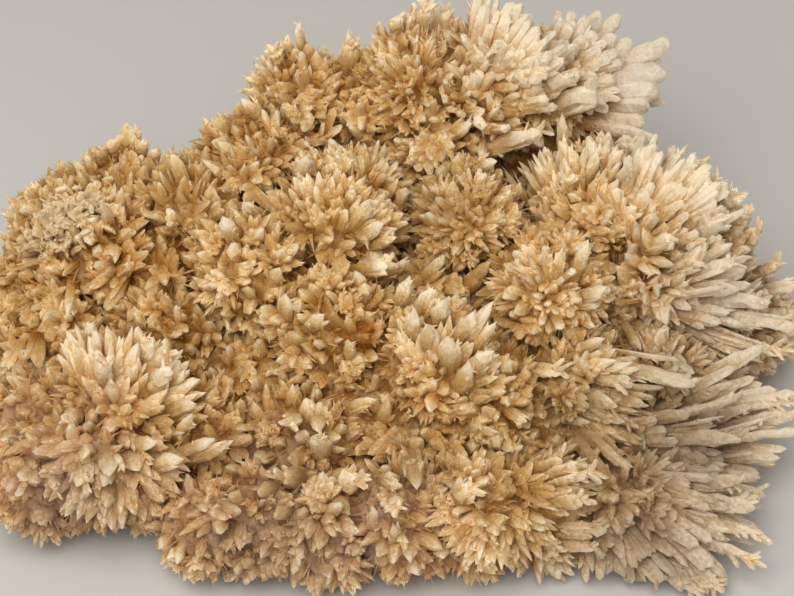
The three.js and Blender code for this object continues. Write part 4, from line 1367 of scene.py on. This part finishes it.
def crystal_material(looks):
    """Milky honey crystal in small flat facets: brown at the buried root, honey in the middle and
    cream at the open tip, a ramp that also paints shade where places lie buried and light at the
    open tips and along thin edges. It is mottled by clouds and by streaks along the growth, with
    patches of gold, rust, glassy crust and white frost, with painted shade as a greyish darkening
    of the lower right and a pinkish darkening of the low front, and with pale specks that are
    partly painted sparkle."""
    shade = Shade(MATERIAL)
    growth = shade.mark("growth")
    tone = shade.mark("tone")
    exposure = shade.mark("exposure")
    grain = shade.vector_mark("grain")
    clouds = shade.noise(shade.place(), CLOUDS_PER_METRE, detail=2.0, rough=0.6)
    chance, height = shade.facets(grain, FACETS_PER_MM)
    streaks = shade.noise(shade.stretched(grain, STREAKS_PER_MM), 1.0, detail=1.0, rough=0.6)
    # The colour ramp runs from root to tip. Besides the real growth colour it holds painted shade,
    # darker where the openness is low, and painted light, paler along the thin edges.
    ripeness_and_painted_light = (growth * (exposure * 0.5 + 0.38) + exposure * 0.34 + (tone - 0.5) * 0.3
            + (clouds - 0.5) * 0.7 + (streaks - 0.5) * 0.3 + (shade.mark("edge") - 0.5) * 0.18
            + (chance - 0.5) * 0.15 + shade.mark("pale") * 0.12 - 0.08).clamped()
    colour = shade.node("ShaderNodeValToRGB", {"stops": (
        (0.0, looks.root_and_cleft_shade_colour), (0.32, looks.deep_colour), (0.58, looks.honey_colour),
        (0.8, looks.cream_colour), (1.0, looks.tip_colour))}, {"Fac": ripeness_and_painted_light})
    # Gold and rust are stains; the pinkish mark is painted shade, darker towards the bottom.
    for name, target, power in (("gold", looks.gold_colour, 0.6),
                                ("rose", looks.pinkish_painted_shade_colour, 1.3),
                                ("rust", looks.rust_colour, 0.8)):
        share = (shade.mark(name) * (clouds.steps(0.3, 0.62) * 0.6 + 0.4) * power
                 * (1.3 - ripeness_and_painted_light)).clamped()
        colour = shade.mixed(colour, rgba(target), share)
    # Painted shade: a greyish darkening over the lower right and a few valleys, strongest at the
    # roots.
    colour = shade.mixed(colour, rgba(looks.greyish_painted_shade_colour),
                         (shade.mark("veil") * (1.2 - ripeness_and_painted_light * 0.4)).clamped())
    glass = shade.mark("glass").steps(0.25, 0.8)
    colour = shade.mixed(colour, rgba(looks.glass_colour), glass * 0.7)
    frost = (shade.mark("frost") * (ripeness_and_painted_light.steps(0.25, 0.9) * 0.8 + 0.2)
             * (chance.steps(0.35, 0.65) * 0.3 + 0.8)).clamped()
    colour = shade.mixed(colour, rgba(looks.frost_colour), frost)
    # Pale specks on the facets, partly painted sparkle; fewer under the greyish painted shade.
    speck_and_painted_sparkle = (chance.steps(0.6, 0.7) * (ripeness_and_painted_light + 0.1)
             * (0.35 - shade.mark("veil") * 0.3)).clamped()
    colour = shade.mixed(colour, rgba(looks.tip_colour), speck_and_painted_sparkle)
    gloss = (chance.steps(0.3, 0.7) * 0.2 + (1 - tone) * 0.15 + 0.25) * (1 - glass * 0.75)
    bump = shade.node("ShaderNodeBump", {}, {
        "Strength": 1.0, "Distance": 1.0, "Height": height * FACET_RELIEF})
    return shade.finish({
        "IOR": 1.55,
        "Specular IOR Level": 0.3,
        "Subsurface Weight": 0.4,
        "Subsurface Radius": (1.0, 0.85, 0.7),
        "Subsurface Scale": 0.0036,
    }, {"Base Color": colour, "Roughness": gloss, "Normal": bump})


def floor_material():
    """Plain pale matt floor with a faint unevenness."""
    shade = Shade("pale_floor")
    cloud = shade.noise(shade.place(), 6.0, 2.0, 0.5)
    colour = shade.mixed(rgba((0.62, 0.61, 0.59)), rgba((0.66, 0.65, 0.63)), cloud)
    return shade.finish({"Roughness": 0.8}, {"Base Color": colour})


class AragoniteLooks(bpy.types.PropertyGroup):
    """Colours of the crystal, from its buried root to its tip, of its stains and of its painted
    shade.
    """

    # The dark end of the ramp: the brown of the root and the painted shade of the clefts.
    root_and_cleft_shade_colour: bpy.props.FloatVectorProperty(
        name="Root", description="Colour deep in the clefts", subtype="COLOR",
        default=(0.36, 0.14, 0.015))
    deep_colour: bpy.props.FloatVectorProperty(
        name="Deep honey", description="Colour of the lower third", subtype="COLOR",
        default=(0.50, 0.28, 0.075))
    honey_colour: bpy.props.FloatVectorProperty(
        name="Honey", description="Colour of the middle", subtype="COLOR",
        default=(0.61, 0.385, 0.145))
    cream_colour: bpy.props.FloatVectorProperty(
        name="Cream", description="Colour near the tip", subtype="COLOR",
        default=(0.77, 0.575, 0.30))
    # The pale end of the ramp: the cream of the tips and the painted light they scatter.
    tip_colour: bpy.props.FloatVectorProperty(
        name="Tip", description="Colour of the tips", subtype="COLOR",
        default=(0.93, 0.80, 0.58))
    frost_colour: bpy.props.FloatVectorProperty(
        name="Frost", description="White crystal of the upper right", subtype="COLOR",
        default=(0.79, 0.70, 0.59))
    gold_colour: bpy.props.FloatVectorProperty(
        name="Gold", description="Golden stain of the small rosettes", subtype="COLOR",
        default=(0.72, 0.465, 0.155))
    rust_colour: bpy.props.FloatVectorProperty(
        name="Rust", description="Orange stain at a few centres", subtype="COLOR",
        default=(0.62, 0.22, 0.04))
    glass_colour: bpy.props.FloatVectorProperty(
        name="Glass", description="Glassy crust of the upper left", subtype="COLOR",
        default=(0.60, 0.48, 0.31))
    # Painted shade: the greyish darkening of the lower right.
    greyish_painted_shade_colour: bpy.props.FloatVectorProperty(
        name="Veil", description="Greyish growth of the lower right", subtype="COLOR",
        default=(0.28, 0.18, 0.105))
    # Painted shade: the pinkish darkening of the low front.
    pinkish_painted_shade_colour: bpy.props.FloatVectorProperty(
        name="Rose", description="Pinkish growth of the low front", subtype="COLOR",
        default=(0.50, 0.30, 0.19))


class ARAGONITE_OT_materials(bpy.types.Operator):
    """The crystal's material"""

    bl_idname = "aragonite.materials"
    bl_label = "Crystal material"

    def execute(self, context):
        crystal_material(context.scene.aragonite_looks)
        return {"FINISHED"}


class ARAGONITE_OT_mother_mass(bpy.types.Operator):
    """The dense body under the crystals, flat where it rests"""

    bl_idname = "aragonite.mother_mass"
    bl_label = "Mother mass"

    def execute(self, context):
        rng = np.random.default_rng(MASS_SEED)
        surfaces = [ball_surface(BASE_CENTRE, BASE_RADII * BASE_SHARE, *BASE_GRID, rng)]
        for centre, radius in zip(CENTRES, RADII):
            surfaces.append(ball_surface(centre, radius * BALL_SHARE, *BALL_GRID, rng))
        make_piece("mother_mass", stacked(surfaces), MASS_SHARP_DEGREES)
        return {"FINISHED"}


class ARAGONITE_OT_large_crystals(bpy.types.Operator):
    """The large single crystals of the show face"""

    bl_idname = "aragonite.large_crystals"
    bl_label = "Large crystals"

    def execute(self, context):
        rng = np.random.default_rng(LARGE_SEED)
        crystals = large_crystals()
        rough = picked(crystals, crystals["form"] != LOBE)
        beside = companions(rough, number=3.4, swings=(0.0, 0.1), widths=(0.3, 0.55),
                            lengths=(0.6, 1.0), rng=rng)
        tiny = grains(joined([rough, beside]), number=4.4, places=FLANK, reaches=GRAIN_REACHES,
                      widths=GRAIN_WIDTHS, rng=rng)
        ending = picked(crystals, np.isin(crystals["form"], RAGGED_ENDS))
        tufts = grains(ending, number=8.0, places=(0.72, 0.98), reaches=(1.2, 3.4),
                       widths=(1.4, 2.6), rng=rng)
        surfaces = [crystal_surface(crystals, *LARGE_GRID, rng),
                    crystal_surface(beside, *LARGE_BESIDE_GRID, rng, first_growth=0.2),
                    crystal_surface(tiny, *FINE_GRID, rng, first_growth=0.7),
                    crystal_surface(tufts, *TUFT_GRID, rng, first_growth=0.5)]
        make_piece("large_crystals", stacked(surfaces), CRYSTAL_SHARP_DEGREES)
        return {"FINISHED"}


class ARAGONITE_OT_region_crystals(bpy.types.Operator):
    """The rosettes, sprays and fine crystals, one piece for each region"""

    bl_idname = "aragonite.region_crystals"
    bl_label = "Rosettes and sprays"

    def execute(self, context):
        large = large_crystals()
        stars = star_sites(np.random.default_rng(STAR_SEED))
        for number, region in enumerate(REGIONS):
            rng = np.random.default_rng(FIRST_SEED + number)
            surface = region_surface(region, stars, large, rng)
            make_piece(f"{region}_crystals", surface, CRYSTAL_SHARP_DEGREES)
        return {"FINISHED"}


def pale_floor():
    """A square floor in the resting plane."""
    mesh = bpy.data.meshes.new("pale_floor")
    mesh.from_pydata([(-FLOOR_HALF, -FLOOR_HALF, 0), (FLOOR_HALF, -FLOOR_HALF, 0),
                      (FLOOR_HALF, FLOOR_HALF, 0), (-FLOOR_HALF, FLOOR_HALF, 0)],
                     [], [(0, 1, 2, 3)])
    mesh.materials.append(floor_material())
    floor = bpy.data.objects.new("pale_floor", mesh)
    bpy.context.scene.collection.objects.link(floor)


def area_light(name, place, target, size, power, colour):
    """A soft square light at a place in metres, turned to a target."""
    lamp = bpy.data.lights.new(name, "AREA")
    lamp.size = size
    lamp.energy = power
    lamp.color = colour
    holder = bpy.data.objects.new(name, lamp)
    holder.location = place
    away = Vector(place) - Vector(target)
    holder.rotation_euler = away.to_track_quat("Z", "Y").to_euler()
    bpy.context.scene.collection.objects.link(holder)


def soft_room():
    """An even, faintly warm light from all round."""
    world = bpy.data.worlds.new("soft_room")
    bpy.context.scene.world = world
    world.use_nodes = True
    background = world.node_tree.nodes["Background"]
    background.inputs["Color"].default_value = rgba(ROOM_COLOUR)
    background.inputs["Strength"].default_value = ROOM_STRENGTH


def camera():
    """The camera square on to the show face, its view as wide as the sheet."""
    camera_data = bpy.data.cameras.new("camera")
    camera_data.sensor_width = SENSOR_WIDTH
    frame_half = SHEET_CENTRE[0] * SHEET_SQUARE
    camera_data.lens = camera_data.sensor_width / 2 * VIEWING_DISTANCE / frame_half
    holder = bpy.data.objects.new("camera", camera_data)
    holder.location = Vector((SHEET_MIDDLE + OUTWARD * VIEWING_DISTANCE) * MM)
    holder.rotation_euler = Vector(OUTWARD).to_track_quat("Z", "Y").to_euler()
    bpy.context.scene.collection.objects.link(holder)
    bpy.context.scene.camera = holder


class ARAGONITE_OT_stage(bpy.types.Operator):
    """The pale floor, the soft lights and the camera"""

    bl_idname = "aragonite.stage"
    bl_label = "Stage"

    def execute(self, context):
        pale_floor()
        for name, place, size, power, colour in LIGHTS:
            area_light(name, place, tuple(SHEET_MIDDLE * MM), size, power, colour)
        soft_room()
        camera()
        context.scene.view_settings.view_transform = "Standard"
        return {"FINISHED"}


class ARAGONITE_PT_panel(bpy.types.Panel):
    """Lists the pieces of the cluster and its colours"""

    bl_idname = "ARAGONITE_PT_panel"
    bl_label = "Aragonite cluster"
    bl_space_type = "VIEW_3D"
    bl_region_type = "UI"
    bl_category = "Aragonite"

    def draw(self, context):
        for operator in OPERATORS:
            self.layout.operator(operator.bl_idname)
        for name in AragoniteLooks.__annotations__:
            self.layout.prop(context.scene.aragonite_looks, name)


OPERATORS = (ARAGONITE_OT_materials, ARAGONITE_OT_mother_mass, ARAGONITE_OT_large_crystals,
             ARAGONITE_OT_region_crystals, ARAGONITE_OT_stage)
CLASSES = (AragoniteLooks, *OPERATORS, ARAGONITE_PT_panel)


def register():
    """Makes the classes known to Blender."""
    for one in CLASSES:
        bpy.utils.register_class(one)
    bpy.types.Scene.aragonite_looks = bpy.props.PointerProperty(type=AragoniteLooks)


def unregister():
    """Takes the classes out again."""
    del bpy.types.Scene.aragonite_looks
    for one in reversed(CLASSES):
        bpy.utils.unregister_class(one)


def main():
    register()
    for operator in OPERATORS:
        group, name = operator.bl_idname.split(".")
        getattr(getattr(bpy.ops, group), name)()


if __name__ == "__main__":
    main()
